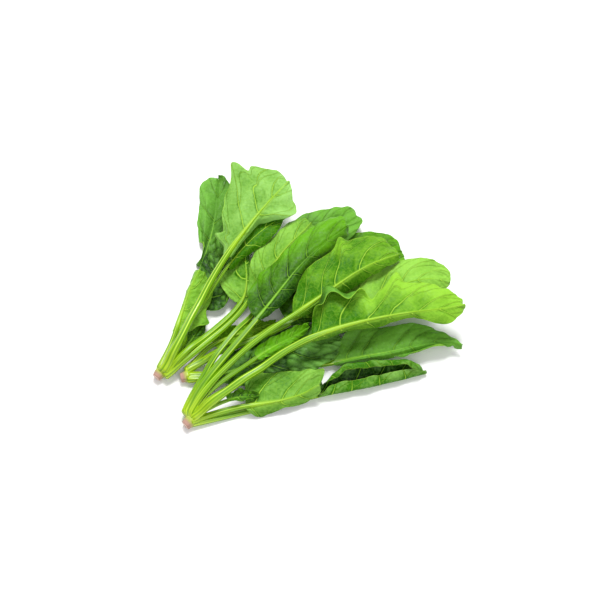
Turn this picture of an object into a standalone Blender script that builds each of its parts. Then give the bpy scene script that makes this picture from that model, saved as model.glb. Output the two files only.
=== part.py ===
"""Bunch of three spinach plants lying on a flat surface, as separate crowns, stem bundles and leaf blades.

Lengths in the tables are millimetres and angles are degrees; the meshes are written in metres, +Z up.
Each leaf is laid out along its stem line (petiole, then midrib), and the leaves are laid down one after
another from the lowest to the highest, each lifted just clear of what already lies below it.
"""
import math

import bpy
import numpy as np

# Sizes (mm)
BLADE_THICKNESS = 0.7
RIB_GAP = 0.35
LAYER_GAP = 1.1
RIB_END_RADIUS = 0.6
PETIOLE_TAPER = 0.78
CROWN_FLARE = 1.25
TIP_REACH = 2.2
ROOT_START = 2.0
ROOT_SPREAD = 0.35
ROOT_SHRINK = 0.7
CELL = 1.5
CELLS = 300
LIFT_SLOPE = 0.7
BLADE_SINK = 0.4
STEM_SINK = 0.9
TUBE_SIDES = 6
CROWN_SIDES = 12
METRE = 0.001

# Where along the midrib the reach of each half is given, as a share of its length
STATIONS = (0.0, 0.12, 0.28, 0.45, 0.62, 0.78, 0.92, 1.0)
# Columns of a blade half, from the flat strip over the midrib to the margin
COLUMNS = (0.0, 0.36, 0.7, 1.0)

# Plants: crown centre, heading of the bundle, crown radius at the cut end and at the stems, half length
PLANTS = {
    "a": dict(centre=(-118, -75.2, 4.8), heading=55, radii=(3.8, 5.2), half=2.4, collar=(5.3, 7.6), collar_length=9),
    "b": dict(centre=(-97, -76.5, 4.5), heading=14, radii=(3.9, 4.9), half=2.2, collar=(5.0, 6.6), collar_length=8),
    "c": dict(centre=(-92, -119, 4.7), heading=45, radii=(4.0, 5.6), half=2.4, collar=(5.7, 8.4), collar_length=9),
}

# Leaves from the lowest to the highest. heading and height are given at 0, 1/3, 2/3 and the end of the
# petiole, then at 1/3, 2/3 and the end of the midrib. left and right are the reaches of the two halves at
# STATIONS, rises are the heights of the margin over the midrib at its base, middle and end. marks are points
# and notches of the margin: side, place along the midrib, size and width. crease lifts a fold in each half.
LEAVES = [
    dict(name="b1", plant="b", start=(-93.9, -70.8), petiole=33, rib=55, radius=2.6, face="under",
         heading=(53, 52, 48, 34, 21, 21, 23), height=(6, 6, 6, 6, 6, 6, 6),
         left=(3, 7, 9, 9, 8, 6, 3), right=(3, 8, 10, 10, 8, 6, 3),
         left_rise=(2, 3, 2), right_rise=(1, -1, -1), wave=(2.2, 2.6, 0.4)),
    dict(name="b3", plant="b", start=(-92.1, -75.4), petiole=121, rib=108, radius=3.0, face="upper",
         heading=(0, 5, 8, 8, 8, 14, -15), height=(4.5, 3.4, 3.2, 5, 10, 13, 10),
         left=(5, 21, 25, 22, 20.5, 13, 6), right=(3, 3, 4, 5, 5, 4, 3),
         left_rise=(2, 1, -2), right_rise=(-4, -6, -4), wave=(1.6, 2.4, 0.6)),
    dict(name="b4", plant="b", start=(-92, -78), petiole=22, rib=107, radius=3.0, face="upper",
         heading=(-3, 1, 6, 14, 20, 20, 17), height=(4.5, 4.7, 5, 5.2, 6, 8.5, 13.5),
         left=(3, 13, 18, 21, 21, 18, 8), right=(5, 13, 20, 25, 27, 24, 13),
         left_rise=(3, 2, 2), right_rise=(0, -2, -2), wave=(1.6, 1.5, 1.0)),
    dict(name="c8", plant="c", start=(-87, -118), petiole=105, rib=92, radius=2.6, face="upper",
         heading=(14, 15, 14, 14, 12, 13, 14), height=(4, 2, 1, 0.6, 0.4, 0.3, 0.2),
         left=(3, 10, 17, 16, 14.5, 13, 7), right=(3, 6, 7, 7, 6, 6, 4),
         left_rise=(10, 17, 15), right_rise=(7, 9, 7), wave=(1.2, 1.6, 0.0)),
    dict(name="c7", plant="c", start=(-88, -117.4), petiole=46, rib=61, radius=2.8, face="under",
         heading=(22, 18, 14, 7, 8, 19, 22), height=(6, 6, 7, 9, 11, 12, 11),
         left=(8, 27, 27.5, 27, 25, 22, 18), right=(3.5, 7, 6.5, 5, 5.5, 6, 6),
         left_rise=(-2, -2, -2), right_rise=(-4, -5, -4), wave=(1.4, 1.6, 0.8), marks=(("left", 0.05, 5, 0.05),)),
    dict(name="c11", plant="c", start=(-86, -113), petiole=29, rib=25, radius=1.8, face="upper",
         heading=(24, 24, 23, 18, 10, 8, 12), height=(7, 9, 11, 12, 12, 11, 10),
         left=(3, 4, 5, 6, 5, 4, 3), right=(2.5, 3, 4, 4, 4, 3, 2.5),
         left_rise=(2, 2, 2), right_rise=(1, 1, 1), wave=(1.8, 2.4, 0.0)),
    dict(name="a3", plant="a", start=(-116, -70), petiole=106, rib=95, radius=2.8, face="upper",
         heading=(72, 71, 74, 77, 80, 86, 92), height=(5, 3, 1.5, 0.8, 0.5, 0.3, 0.2),
         left=(2.5, 3, 8, 13.5, 17, 20.5, 12), right=(3, 5, 8, 10, 12, 15, 10),
         left_rise=(-2, -2, -2), right_rise=(2, 3, 4), crease=(4.0, 0.0), wave=(0.8, 1.3, 0.0), marks=(("left", 0.02, 4, 0.05),)),
    dict(name="a6", plant="a", start=(-114, -71), petiole=68, rib=74, radius=2.4, face="upper",
         heading=(58, 59, 62, 68, 76, 80, 79), height=(5, 3, 2.5, 3, 5, 8, 9),
         left=(3, 8, 13, 16, 16, 14, 5), right=(9, 16, 14, 12, 17, 25, 18),
         left_rise=(-1, 1, 1), right_rise=(0, 2, 2), wave=(1.8, 1.7, 1.4)),
    dict(name="a5", plant="a", start=(-113, -72), petiole=28, rib=32, radius=1.8, face="upper",
         heading=(50, 52, 54, 56, 60, 62, 64), height=(5, 5, 5, 5, 5, 5, 5),
         left=(3, 4, 5, 6, 5, 4, 3), right=(3, 5, 6, 7, 6, 4, 3),
         left_rise=(0, 1, 1), right_rise=(0, -1, -1), wave=(1.8, 2.2, 0.9)),
    dict(name="a4", plant="a", start=(-115.7, -69.2), petiole=34, rib=60, radius=2.9, face="under",
         heading=(70, 68, 70, 74, 77, 73, 60), height=(7, 8, 9, 11, 13, 14, 13),
         left=(3, 3, 3, 3, 4, 5, 8), right=(4, 14, 19, 20, 20.5, 14, 8),
         left_rise=(-3, -6, -6), right_rise=(-1, -4, -3), wave=(1.4, 2.4, 0.3), marks=(("right", 0.23, 6, 0.06),)),
    dict(name="a9", plant="a", start=(-113, -73), petiole=14, rib=24, radius=1.5, face="under",
         heading=(56, 58, 60, 62, 64, 64, 62), height=(7, 7, 6, 6, 6, 5, 5),
         left=(2, 3, 4, 4, 4, 3, 2), right=(2, 3, 4, 4, 4, 3, 2),
         left_rise=(1, 1, 1), right_rise=(0, 0, 0), wave=(1.0, 2.0, 0.9)),
    dict(name="b2", plant="b", start=(-93, -70.1), petiole=93, rib=125, radius=3.0, face="upper",
         heading=(35, 20, 22, 30, 42, 42, 35), height=(6, 7, 8, 9, 10, 9, 3),
         left=(22, 30, 32, 35, 41, 34.5, 18), right=(3, 8, 14, 19, 24, 24, 11),
         left_rise=(0, 1, -2), right_rise=(0, 0, -3), wave=(1.2, 1.5, 1.2)),
    dict(name="b5", plant="b", start=(-93, -71), petiole=104, rib=38, radius=1.8, face="under",
         heading=(35, 24, 22, 24, 24, 28, 32), height=(6, 7, 8, 11, 15, 17, 17),
         left=(3, 8, 10, 9, 8, 6, 3), right=(3, 5, 6, 6, 5, 4, 3),
         left_rise=(0, 1, 0), right_rise=(-1, -2, -1), wave=(1.4, 1.8, 0.5)),
    dict(name="c9", plant="c", start=(-93.7, -110.2), petiole=148, rib=92, radius=2.6, face="upper",
         heading=(70, 56, 55, 52, 48, 43, 44), height=(8, 13, 14, 14, 14, 12, 8),
         left=(5, 14, 25, 31, 26, 20.5, 15), right=(3, 8, 13, 16, 17, 16, 10),
         left_rise=(0, 2, -2), right_rise=(0, 1, -2), wave=(1.2, 1.3, 0.2)),
    dict(name="a7", plant="a", start=(-112.2, -74.5), petiole=89, rib=51, radius=2.8, face="under",
         heading=(38, 47, 44, 60, 87, 94, 90), height=(7, 10, 12, 14, 17, 18, 16),
         left=(7, 17, 22, 24, 12, 6, 4), right=(3, 3, 3, 3, 4, 5, 4),
         left_rise=(-1, -2, -2), right_rise=(-1, -2, -3), wave=(1.2, 1.6, 0.7)),
    dict(name="a8", plant="a", start=(-111.3, -76.4), petiole=97, rib=89, radius=2.7, face="under",
         heading=(36, 42, 45, 53, 62, 51, 51), height=(7, 9, 12, 17, 21, 24, 23),
         left=(4, 10, 17.5, 23, 19, 20, 12), right=(3, 11, 15, 19, 22, 20, 10),
         left_rise=(-2, -4, -3), right_rise=(0, 2, -2), wave=(1.2, 1.7, 0.0)),
    dict(name="a2", plant="a", start=(-115, -71), petiole=105, rib=70, radius=1.7, face="under",
         heading=(57, 60, 61, 56, 51, 43, 38), height=(7, 12, 18, 24, 26, 27, 25),
         left=(3, 4, 7, 10, 13, 9, 4), right=(3, 4, 6, 9, 11, 9, 4),
         left_rise=(-1, -1, -1), right_rise=(-5, -6, -4), wave=(0.8, 1.2, 0.5)),
    dict(name="a1", plant="a", start=(-112.9, -72.9), petiole=111, rib=91, radius=3.5, face="under",
         heading=(57, 66, 64, 57, 55, 55, 56), height=(9, 16, 24, 32, 37, 38, 34),
         left=(4, 10.3, 24.5, 39, 49, 34, 16.5), right=(3, 3, 3, 3, 25, 15.5, 7),
         left_rise=(-3, -5, -3), right_rise=(-4, -7, -2), wave=(1.4, 1.4, 0.2),
         marks=(("left", 0.154, 10, 0.035), ("left", 0.6, 10, 0.035), ("left", 0.66, -6, 0.02))),
    dict(name="c5", plant="c", start=(-86.8, -109.4), petiole=68, rib=51, radius=2.4, face="upper",
         heading=(61, 43, 33, 34, 31, 34, 39), height=(8, 11, 14, 18, 20, 20, 19),
         left=(4, 6, 6.5, 6.5, 6.5, 6, 4), right=(4, 5, 6, 6, 5.5, 4.5, 3),
         left_rise=(2, 3, 2), right_rise=(-1, -2, -2), wave=(1.6, 2.6, 0.0)),
    dict(name="c1", plant="c", start=(-92.3, -110.2), petiole=96, rib=117, radius=3.2, face="upper",
         heading=(66, 53, 51, 52, 55, 46, 39), height=(8, 16, 21, 25, 28, 31, 30),
         left=(8, 20, 23.5, 20, 23, 24, 17), right=(3, 7, 10, 9, 9, 9.5, 8),
         left_rise=(-3, -4, -3), right_rise=(-2, -9, -7), wave=(1.4, 1.8, 1.1)),
    dict(name="c3", plant="c", start=(-87.4, -111.9), petiole=138, rib=108, radius=2.5, face="under",
         heading=(28, 35, 31, 36, 30, 22, -14), height=(7, 11, 17, 23, 28, 31, 28),
         left=(6, 20, 26, 28, 27, 24, 12), right=(3, 5, 9, 13, 17, 16, 9),
         left_rise=(-3, -3, -2), right_rise=(-3, -4, -3), wave=(1.5, 1.7, 0.6)),
    dict(name="c2", plant="c", start=(-89, -110), petiole=116, rib=105, radius=2.75, face="under",
         heading=(61, 45, 36, 34, 36, 34, 23), height=(9, 17, 26, 33, 38, 40, 35),
         left=(5, 17, 30, 33, 36, 31, 12), right=(3, 4, 5, 5, 6, 8, 7),
         left_rise=(-3, -6, -4), right_rise=(-6, -9, -3), wave=(1.6, 2.0, 0.9), marks=(("left", 0.556, 7, 0.03),)),
    dict(name="c4", plant="c", start=(-85.9, -114.6), petiole=115, rib=129, radius=3.2, face="under",
         heading=(34, 35, 34, 20, 12, 10, 19), height=(8, 15, 24, 32, 38, 40, 34),
         left=(4, 26, 27, 31, 34.5, 26, 13), right=(3, 3, 3, 4, 0.5, 15, 8),
         left_rise=(-4, -4, -4), right_rise=(-3, -5, -4), wave=(1.5, 2.1, 0.2), marks=(("left", 0.18, 8, 0.05), ("left", 0.385, -10, 0.035), ("left", 0.505, 13, 0.035))),
]
SMALL_LEAVES = {"b1", "b5", "c11", "a5", "a9"}

MATERIALS = {
    "crown_pink": ((0.72, 0.33, 0.27), 0.55),
    "stem_green": ((0.36, 0.60, 0.06), 0.35),
    "blade_under": ((0.22, 0.50, 0.08), 0.45),
    "blade_upper": ((0.05, 0.25, 0.02), 0.38),
}


def spline(knots, values, at):
    """Smooth curve through the values: cubic Hermite pieces with slopes taken from the neighbours."""
    knots = np.asarray(knots, float)
    values = np.asarray(values, float)
    at = np.asarray(at, float)
    slope = np.gradient(values, knots)
    i = np.clip(np.searchsorted(knots, at, side="right") - 1, 0, len(knots) - 2)
    h = knots[i + 1] - knots[i]
    t = (at - knots[i]) / h
    return (
        (1 + 2 * t) * (1 - t) ** 2 * values[i]
        + t * (1 - t) ** 2 * h * slope[i]
        + t * t * (3 - 2 * t) * values[i + 1]
        + t * t * (t - 1) * h * slope[i + 1]
    )


def line_at(leaf, at):
    """Point and heading of a leaf's stem line at distances from its start."""
    petiole, rib = leaf["petiole"], leaf["rib"]
    total = petiole + rib
    knots = [petiole * k / 3 for k in range(4)] + [petiole + rib * k / 3 for k in (1, 2, 3)]
    fine = np.linspace(0, total, 241)
    heading = np.radians(spline(knots, leaf["heading"], fine))
    height = spline(knots, leaf["height"], fine)
    step = total / 240
    x = leaf["start"][0] + np.concatenate([[0], np.cumsum((np.cos(heading[1:]) + np.cos(heading[:-1])) / 2 * step)])
    y = leaf["start"][1] + np.concatenate([[0], np.cumsum((np.sin(heading[1:]) + np.sin(heading[:-1])) / 2 * step)])
    point = np.stack([np.interp(at, fine, c) for c in (x, y, height)], axis=1)
    return point, np.interp(at, fine, heading)


def tube_radius(leaf, at):
    """Radius of the stem: full at the crown, less at the blade, thin at the end of the midrib."""
    ends = [0, 0.3 * leaf["petiole"], leaf["petiole"], leaf["petiole"] + leaf["rib"]]
    full = leaf["radius"]
    return np.interp(at, ends, [CROWN_FLARE * full, full, PETIOLE_TAPER * full, RIB_END_RADIUS])


def blade_grid(leaf, share):
    """Middle surface of a blade as an array of points: rows along the midrib, columns from left to right."""
    at = leaf["petiole"] + leaf["rib"] * share
    point, heading = line_at(leaf, at)
    strip = tube_radius(leaf, at) + 0.4
    lift = strip - 0.4 + RIB_GAP + BLADE_THICKNESS / 2
    base = point[:, 2] + (lift if leaf["face"] == "upper" else -lift)
    sweep = np.radians(-5 + 65 * share**1.5)
    amount, count, phase = leaf["wave"]
    tangent = np.stack([np.cos(heading), np.sin(heading)], axis=1)
    normal = np.stack([-np.sin(heading), np.cos(heading)], axis=1)
    columns = []
    for side, key, order in ((1, "left", COLUMNS[::-1]), (-1, "right", COLUMNS)):
        reach = spline(STATIONS, leaf[key] + (TIP_REACH,), share)
        for mark_side, where, size, width in leaf.get("marks", ()):
            if mark_side == key:
                reach = reach + size * np.exp(-(((share - where) / width) ** 2))
        reach = np.maximum(reach, strip + 0.8)
        rise = spline((0, 0.5, 1), leaf[key + "_rise"], share) * np.minimum(1, share / 0.08 + 0.2)
        crease = leaf.get("crease", (0, 0))[0 if side == 1 else 1]
        for q in order:
            distance = strip + (reach - strip) * q
            way = side * normal * np.cos(sweep)[:, None] + tangent * np.sin(sweep)[:, None]
            flat = point[:, :2] + way * distance[:, None]
            fold = crease * (1 - abs(2 * q - 1)) * np.sin(math.pi * np.clip(share, 0, 1)) ** 0.5
            ripple = amount * q * q * np.sin(2 * math.pi * (count * share + phase + 0.3 * side))
            z = base + rise * q**1.6 + fold + ripple * np.minimum(1, share * 6)
            columns.append(np.column_stack([flat, z]))
    return np.stack(columns, axis=1)


def grid_triangles(rows, columns):
    """Triangles of a grid, with diagonals that turn from square to square, faces upwards."""
    triangles = []
    for i in range(rows - 1):
        for j in range(columns - 1):
            a, b = i * columns + j, i * columns + j + 1
            c, d = a + columns, b + columns
            triangles += [(a, b, d), (a, d, c)] if (i + j) % 2 else [(a, b, c), (b, d, c)]
    return np.array(triangles)


def tube_points(leaf, at, lift):
    """Rings of a stem round its line, each ring lifted by its own amount."""
    point, heading = line_at(leaf, at)
    radius = tube_radius(leaf, at)
    turn = 2 * math.pi * (np.arange(TUBE_SIDES) + 0.5) / TUBE_SIDES
    across = radius[:, None] * np.cos(turn)
    up = radius[:, None] * np.sin(turn) * 0.92
    x = point[:, :1] - np.sin(heading)[:, None] * across
    y = point[:, 1:2] + np.cos(heading)[:, None] * across
    return np.stack([x, y, point[:, 2:] + lift[:, None] + up], axis=2)


def tube_triangles(rings):
    """Side triangles of a tube, faces out."""
    triangles = []
    for i in range(rings - 1):
        for j in range(TUBE_SIDES):
            a, b = i * TUBE_SIDES + j, i * TUBE_SIDES + (j + 1) % TUBE_SIDES
            c, d = a + TUBE_SIDES, b + TUBE_SIDES
            triangles += [(a, b, c), (b, d, c)]
    return np.array(triangles)


def samples(points, triangles):
    """Points spread over each triangle, closer than a map cell."""
    n = 9
    weights = np.array([(i, j, n - i - j) for i in range(n + 1) for j in range(n + 1 - i)]) / n
    return np.einsum("kc,tcx->tkx", weights, points[triangles])


def cells_of(spread):
    """Map cell of each sample."""
    return np.clip(np.floor(spread[..., :2] / CELL).astype(int) + CELLS // 2, 1, CELLS - 2)


def widen(heights):
    """Each cell takes the highest value of itself and its neighbours."""
    out = heights.copy()
    for dx in (-1, 0, 1):
        for dy in (-1, 0, 1):
            out = np.maximum(out, np.roll(np.roll(heights, dx, 0), dy, 1))
    return out


def add_to_map(heights, points, triangles):
    """Raise the map to the samples of a mesh."""
    spread = samples(points, triangles)
    cell = cells_of(spread)
    np.maximum.at(heights, (cell[..., 0], cell[..., 1]), spread[..., 2])


def needed(heights, points, triangles, count):
    """Least lift of each vertex that holds its triangles clear of the map."""
    spread = samples(points, triangles)
    cell = cells_of(spread)
    need = (heights[cell[..., 0], cell[..., 1]] + LAYER_GAP - spread[..., 2]).max(axis=1)
    lift = np.full(count, -1e9)
    for corner in range(3):
        np.maximum.at(lift, triangles[:, corner], need)
    return lift


def secant(grid):
    """How much the vertical thickness grows where the blade is steep."""
    along = np.gradient(grid, axis=0)
    across = np.gradient(grid, axis=1)
    normal = np.cross(along, across)
    steep = np.linalg.norm(normal, axis=2) / np.maximum(np.abs(normal[..., 2]), 1e-9)
    return np.clip(steep, 1, 2.2)


def lay_leaf(leaf, maps):
    """Blade surface, stem rings and their lift, held clear of everything already in the maps."""
    small = leaf["name"] in SMALL_LEAVES
    rows = 8 if small else 13
    share = np.linspace(0, 1, rows)
    grid = blade_grid(leaf, share)
    columns = grid.shape[1]
    half = columns // 2
    petiole_rings = max(3, round(leaf["petiole"] / (13 if small else 16)))
    rib_rows = rows - 1
    at = np.concatenate([np.linspace(0, leaf["petiole"], petiole_rings + 1)[:-1], leaf["petiole"] + leaf["rib"] * share[:rib_rows]])
    rings = tube_points(leaf, at, np.zeros(len(at)))
    blade_tri = grid_triangles(rows, columns)
    tube_tri = tube_triangles(len(at))
    under = grid.copy()
    under[..., 2] -= BLADE_THICKNESS / 2 * 1.4
    everything = np.maximum(widen(np.maximum.reduce(list(maps.values()))), -LAYER_GAP - BLADE_SINK)
    others = np.maximum.reduce([maps[key] for key in maps if key != leaf["plant"]])
    others = np.maximum(widen(others), -LAYER_GAP - STEM_SINK)
    blade_need = needed(everything, under.reshape(-1, 3), blade_tri, rows * columns)
    tube_need = needed(others, rings.reshape(-1, 3), tube_tri, rings.size // 3)
    centre, _ = line_at(leaf, at)
    station_need = tube_need.reshape(len(at), TUBE_SIDES).max(axis=1)
    blade_need = blade_need.reshape(rows, columns)
    for row in range(rib_rows):
        ring = petiole_rings + row
        station_need[ring] = max(station_need[ring], blade_need[row, half - 1], blade_need[row, half])
    places = np.concatenate([centre[:, :2], grid[..., :2].reshape(-1, 2)])
    needs = np.concatenate([station_need, blade_need.reshape(-1)])
    needs = np.maximum(needs, 0)
    apart = np.linalg.norm(places[:, None] - places[None], axis=2)
    lift = np.maximum((needs[None] - LIFT_SLOPE * apart).max(axis=1), 0)
    ring_lift = lift[: len(at)]
    ring_lift[0] = 0
    blade_lift = lift[len(at):].reshape(rows, columns)
    for row in range(rib_rows):
        blade_lift[row, half - 1] = blade_lift[row, half] = ring_lift[petiole_rings + row]
    grid[..., 2] += blade_lift
    rings = tube_points(leaf, at, ring_lift)
    return grid, rings, blade_tri, tube_tri


def plain_mesh(name, points, faces):
    """Mesh object from points in mm and lists of corners."""
    mesh = bpy.data.meshes.new(name)
    mesh.from_pydata([tuple(float(c) * METRE for c in p) for p in points], [], [tuple(int(i) for i in f) for f in faces])
    mesh.validate()
    mesh.update()
    item = bpy.data.objects.new(name, mesh)
    bpy.context.scene.collection.objects.link(item)
    return item


def blade_solid(name, grid, triangles):
    """Closed blade: the surface, a copy below it and a rim, both split the same way."""
    rows, columns = grid.shape[:2]
    half = BLADE_THICKNESS / 2 * secant(grid)
    top = grid.copy()
    bottom = grid.copy()
    top[..., 2] += half
    bottom[..., 2] -= half
    sunk = np.maximum(0, -bottom[..., 2])
    bottom[..., 2] += sunk
    top[..., 2] += sunk
    count = rows * columns
    points = np.concatenate([top.reshape(-1, 3), bottom.reshape(-1, 3)])
    faces = [tuple(t) for t in triangles] + [tuple(count + t[::-1]) for t in triangles]
    edge = [j for j in range(columns)] + [i * columns + columns - 1 for i in range(1, rows)]
    edge += [(rows - 1) * columns + j for j in range(columns - 2, -1, -1)] + [i * columns for i in range(rows - 2, 0, -1)]
    for a, b in zip(edge, edge[1:] + edge[:1]):
        faces += [(b, a, count + a), (b, count + a, count + b)]
    return points, faces


def with_root(plant, rings):
    """The stem's rings with one more in front, next to the crown and smaller, so that the stems gather there."""
    sizes = PLANTS[plant]
    centre = np.array(sizes["centre"], float)
    angle = math.radians(sizes["heading"])
    direction = np.array([math.cos(angle), math.sin(angle), 0])
    middle = rings[0].mean(axis=0)
    apart = middle - centre
    aside = apart - direction * (apart @ direction)
    root = centre + direction * (sizes["half"] + ROOT_START) + aside * ROOT_SPREAD
    return np.concatenate([[root + (rings[0] - middle) * ROOT_SHRINK], rings])


def tube_solid(rings):
    """Closed stem: sides and two end caps, flattened where it lies on the surface."""
    points = rings.reshape(-1, 3).copy()
    points[:, 2] = np.maximum(points[:, 2], 0)
    count = len(rings)
    triangles = tube_triangles(count)
    faces = [tuple(t) for t in triangles]
    faces.append(tuple(reversed(range(TUBE_SIDES))))
    faces.append(tuple((count - 1) * TUBE_SIDES + k for k in range(TUBE_SIDES)))
    return points, faces


def frustum(centre, heading, radii, start, length):
    """Round bar along a heading, flattened where it lies on the surface."""
    turn = 2 * math.pi * (np.arange(CROWN_SIDES) + 0.5) / CROWN_SIDES
    direction = np.array([math.cos(math.radians(heading)), math.sin(math.radians(heading)), 0])
    side = np.array([-direction[1], direction[0], 0])
    points = []
    for forward, radius in ((start, radii[0]), (start + length, radii[1])):
        middle = np.array(centre, float) + direction * forward
        ring = middle + radius * (np.cos(turn)[:, None] * side + np.sin(turn)[:, None] * np.array([0, 0, 1.0]))
        points.append(ring)
    points = np.concatenate(points)
    points[:, 2] = np.maximum(points[:, 2], 0)
    n = CROWN_SIDES
    faces = [(j, (j + 1) % n, n + (j + 1) % n, n + j) for j in range(n)]
    faces.append(tuple(reversed(range(n))))
    faces.append(tuple(n + k for k in range(n)))
    return points, faces


def material(name):
    """Principled material of a slot, made once."""
    found = bpy.data.materials.get(name)
    if found:
        return found
    colour, roughness = MATERIALS[name]
    found = bpy.data.materials.new(name)
    found.use_nodes = True
    shader = found.node_tree.nodes["Principled BSDF"]
    shader.inputs["Base Color"].default_value = (*colour, 1)
    shader.inputs["Roughness"].default_value = roughness
    shader.inputs["Metallic"].default_value = 0
    return found


def finish(item, slot):
    """Material and smooth shading."""
    item.data.materials.clear()
    item.data.materials.append(material(slot))
    item.data.polygons.foreach_set("use_smooth", [True] * len(item.data.polygons))


def join_tubes(name, collar, tubes):
    """One solid from a collar and the stems that leave it."""
    base = plain_mesh(name, *collar)
    group = bpy.data.collections.new(name + "_tubes")
    bpy.context.scene.collection.children.link(group)
    for number, (points, faces) in enumerate(tubes):
        item = plain_mesh(f"{name}_tube{number}", points, faces)
        bpy.context.scene.collection.objects.unlink(item)
        group.objects.link(item)
    union = base.modifiers.new("union", "BOOLEAN")
    union.operation = "UNION"
    union.operand_type = "COLLECTION"
    union.collection = group
    union.solver = "MANIFOLD"
    bpy.context.view_layer.update()
    solid = bpy.data.meshes.new_from_object(base.evaluated_get(bpy.context.evaluated_depsgraph_get()))
    base.modifiers.clear()
    base.data = solid
    for item in list(group.objects):
        bpy.data.objects.remove(item)
    bpy.data.collections.remove(group)
    return base


def main():
    for item in list(bpy.data.objects):
        bpy.data.objects.remove(item)
    maps = {key: np.full((CELLS, CELLS), -99.0) for key in ("blades", "a", "b", "c")}
    pieces = []
    tubes = {plant: [] for plant in PLANTS}
    for leaf in LEAVES:
        grid, rings, blade_tri, tube_tri = lay_leaf(leaf, maps)
        points, faces = blade_solid(leaf["name"], grid, blade_tri)
        add_to_map(maps["blades"], points, blade_tri)
        add_to_map(maps[leaf["plant"]], tube_solid(rings)[0], tube_tri)
        pieces.append((f"leaf_{leaf['name']}", points, faces, "blade_" + leaf["face"]))
        tubes[leaf["plant"]].append(tube_solid(with_root(leaf["plant"], rings)))
    items = []
    for plant, sizes in PLANTS.items():
        crown = frustum(sizes["centre"], sizes["heading"], sizes["radii"], -sizes["half"], 2 * sizes["half"])
        item = plain_mesh(f"crown_{plant}", *crown)
        finish(item, "crown_pink")
        items.append(item)
        collar = frustum(sizes["centre"], sizes["heading"], sizes["collar"], sizes["half"] + RIB_GAP, sizes["collar_length"])
        item = join_tubes(f"stems_{plant}", collar, tubes[plant])
        finish(item, "stem_green")
        items.append(item)
    for name, points, faces, slot in pieces:
        item = plain_mesh(name, points, faces)
        finish(item, slot)
        items.append(item)
    corners = np.concatenate([np.array([v.co for v in item.data.vertices]) for item in items])
    low, high = corners.min(axis=0), corners.max(axis=0)
    shift = -(low + high) / 2
    shift[2] = 0
    for item in items:
        for vertex in item.data.vertices:
            vertex.co.x += shift[0]
            vertex.co.y += shift[1]
        item.data.update()


main()
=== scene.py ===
"""Dresses the spinach bunch: fine leaf blades, grooved petioles, cut crowns and a pale studio stage.

The tables give each leaf's stem line, reach and rises in millimetres and degrees, as the solids have them.
The leaves are laid down from the lowest to the highest on maps of what already lies there, and the fine
surfaces then follow that lay with their veins, quilting and curled margins.
"""
import math

import bpy
import numpy as np
from bpy.props import FloatProperty, FloatVectorProperty, PointerProperty
from bpy.types import Operator, Panel, PropertyGroup
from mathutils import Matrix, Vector


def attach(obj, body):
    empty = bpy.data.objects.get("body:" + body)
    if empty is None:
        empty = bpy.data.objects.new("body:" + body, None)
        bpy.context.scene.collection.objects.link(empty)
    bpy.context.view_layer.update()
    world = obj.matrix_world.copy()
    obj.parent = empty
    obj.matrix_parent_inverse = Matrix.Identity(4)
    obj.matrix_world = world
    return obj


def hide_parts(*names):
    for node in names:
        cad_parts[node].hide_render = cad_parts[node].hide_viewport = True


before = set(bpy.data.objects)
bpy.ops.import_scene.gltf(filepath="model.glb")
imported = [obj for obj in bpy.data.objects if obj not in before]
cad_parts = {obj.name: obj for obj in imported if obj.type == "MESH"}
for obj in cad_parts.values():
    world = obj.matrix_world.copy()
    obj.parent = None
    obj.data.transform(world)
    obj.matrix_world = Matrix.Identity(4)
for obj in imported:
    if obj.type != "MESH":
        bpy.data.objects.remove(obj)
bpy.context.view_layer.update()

bl_info = {
    "name": "Spinach Bunch",
    "version": (1, 0, 0),
    "blender": (4, 5, 0),
    "location": "View3D > Sidebar > Spinach",
    "description": "Leaf blades, petioles, crowns and stage of a bunch of three spinach plants",
    "category": "Add Mesh",
}

# Sizes of the solids (mm)
BLADE_THICKNESS = 0.7
RIB_GAP = 0.35
LAYER_GAP = 1.1
RIB_END_RADIUS = 0.6
PETIOLE_TAPER = 0.78
CROWN_FLARE = 1.25
TIP_REACH = 2.2
CELL = 1.5
CELLS = 300
LIFT_SLOPE = 0.7
BLADE_SINK = 0.4
STEM_SINK = 0.9
STEEP_ALLOWANCE = 1.4
TUBE_SIDES = 6
LINE_STEPS = 240
SAMPLE_STEPS = 9
# Rows of a blade and distance between the rings of a petiole, in a small leaf and in a large one
SMALL_LAY = (8, 13)
LARGE_LAY = (13, 16)
METRE = 0.001
STEM_FLATNESS = 0.92
STATIONS = (0.0, 0.12, 0.28, 0.45, 0.62, 0.78, 0.92, 1.0)
COLUMNS = (0.0, 0.36, 0.7, 1.0)
# Fine pieces: rows and columns of half a blade, height where the relief levels off (mm), share of the way up to
# its blade that a midrib under it is set back, sides of a stem and of a crown, and cells of the 1 mm map
SMALL_GRID = (64, 16)
LARGE_GRID = (132, 30)
RELIEF_LIMIT = 2.2
RIB_RISE = 0.88
STEM_SIDES = 40
CROWN_SIDES = 48
CROWN_TURN = 2 * math.pi * np.arange(CROWN_SIDES) / CROWN_SIDES
FINE_CELLS = 450
# Least height of a fine blade over what is below it, and of a fine stem or crown over the floor (mm)
FINE_GAP = 0.25
FLOOR_GAP = 0.03
# Crown from the heart of its cut face to where the stems leave: mm along the axis and share of the radius
CROWN_PROFILE = (
    (0.0, 0.02), (0.02, 0.2), (0.0, 0.42), (0.02, 0.62), (0.0, 0.8), (0.06, 0.92), (0.25, 0.99), (0.6, 1.02),
    (1.2, 1.03), (2.0, 1.07), (3.0, 1.14), (3.9, 1.22), (4.7, 1.26), (4.8, 0.5), (4.8, 0.02))
# Stage: size and place of each lamp, in metres
LAMPS = {"key": (0.8, (0.05, 0.85, 1.75)), "fill": (1.4, (0.30, -1.20, 1.60))}
# The solids are centred on their box, and the tables are not
SHIFT = (-8.08, -1.96, 0.0)

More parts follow.
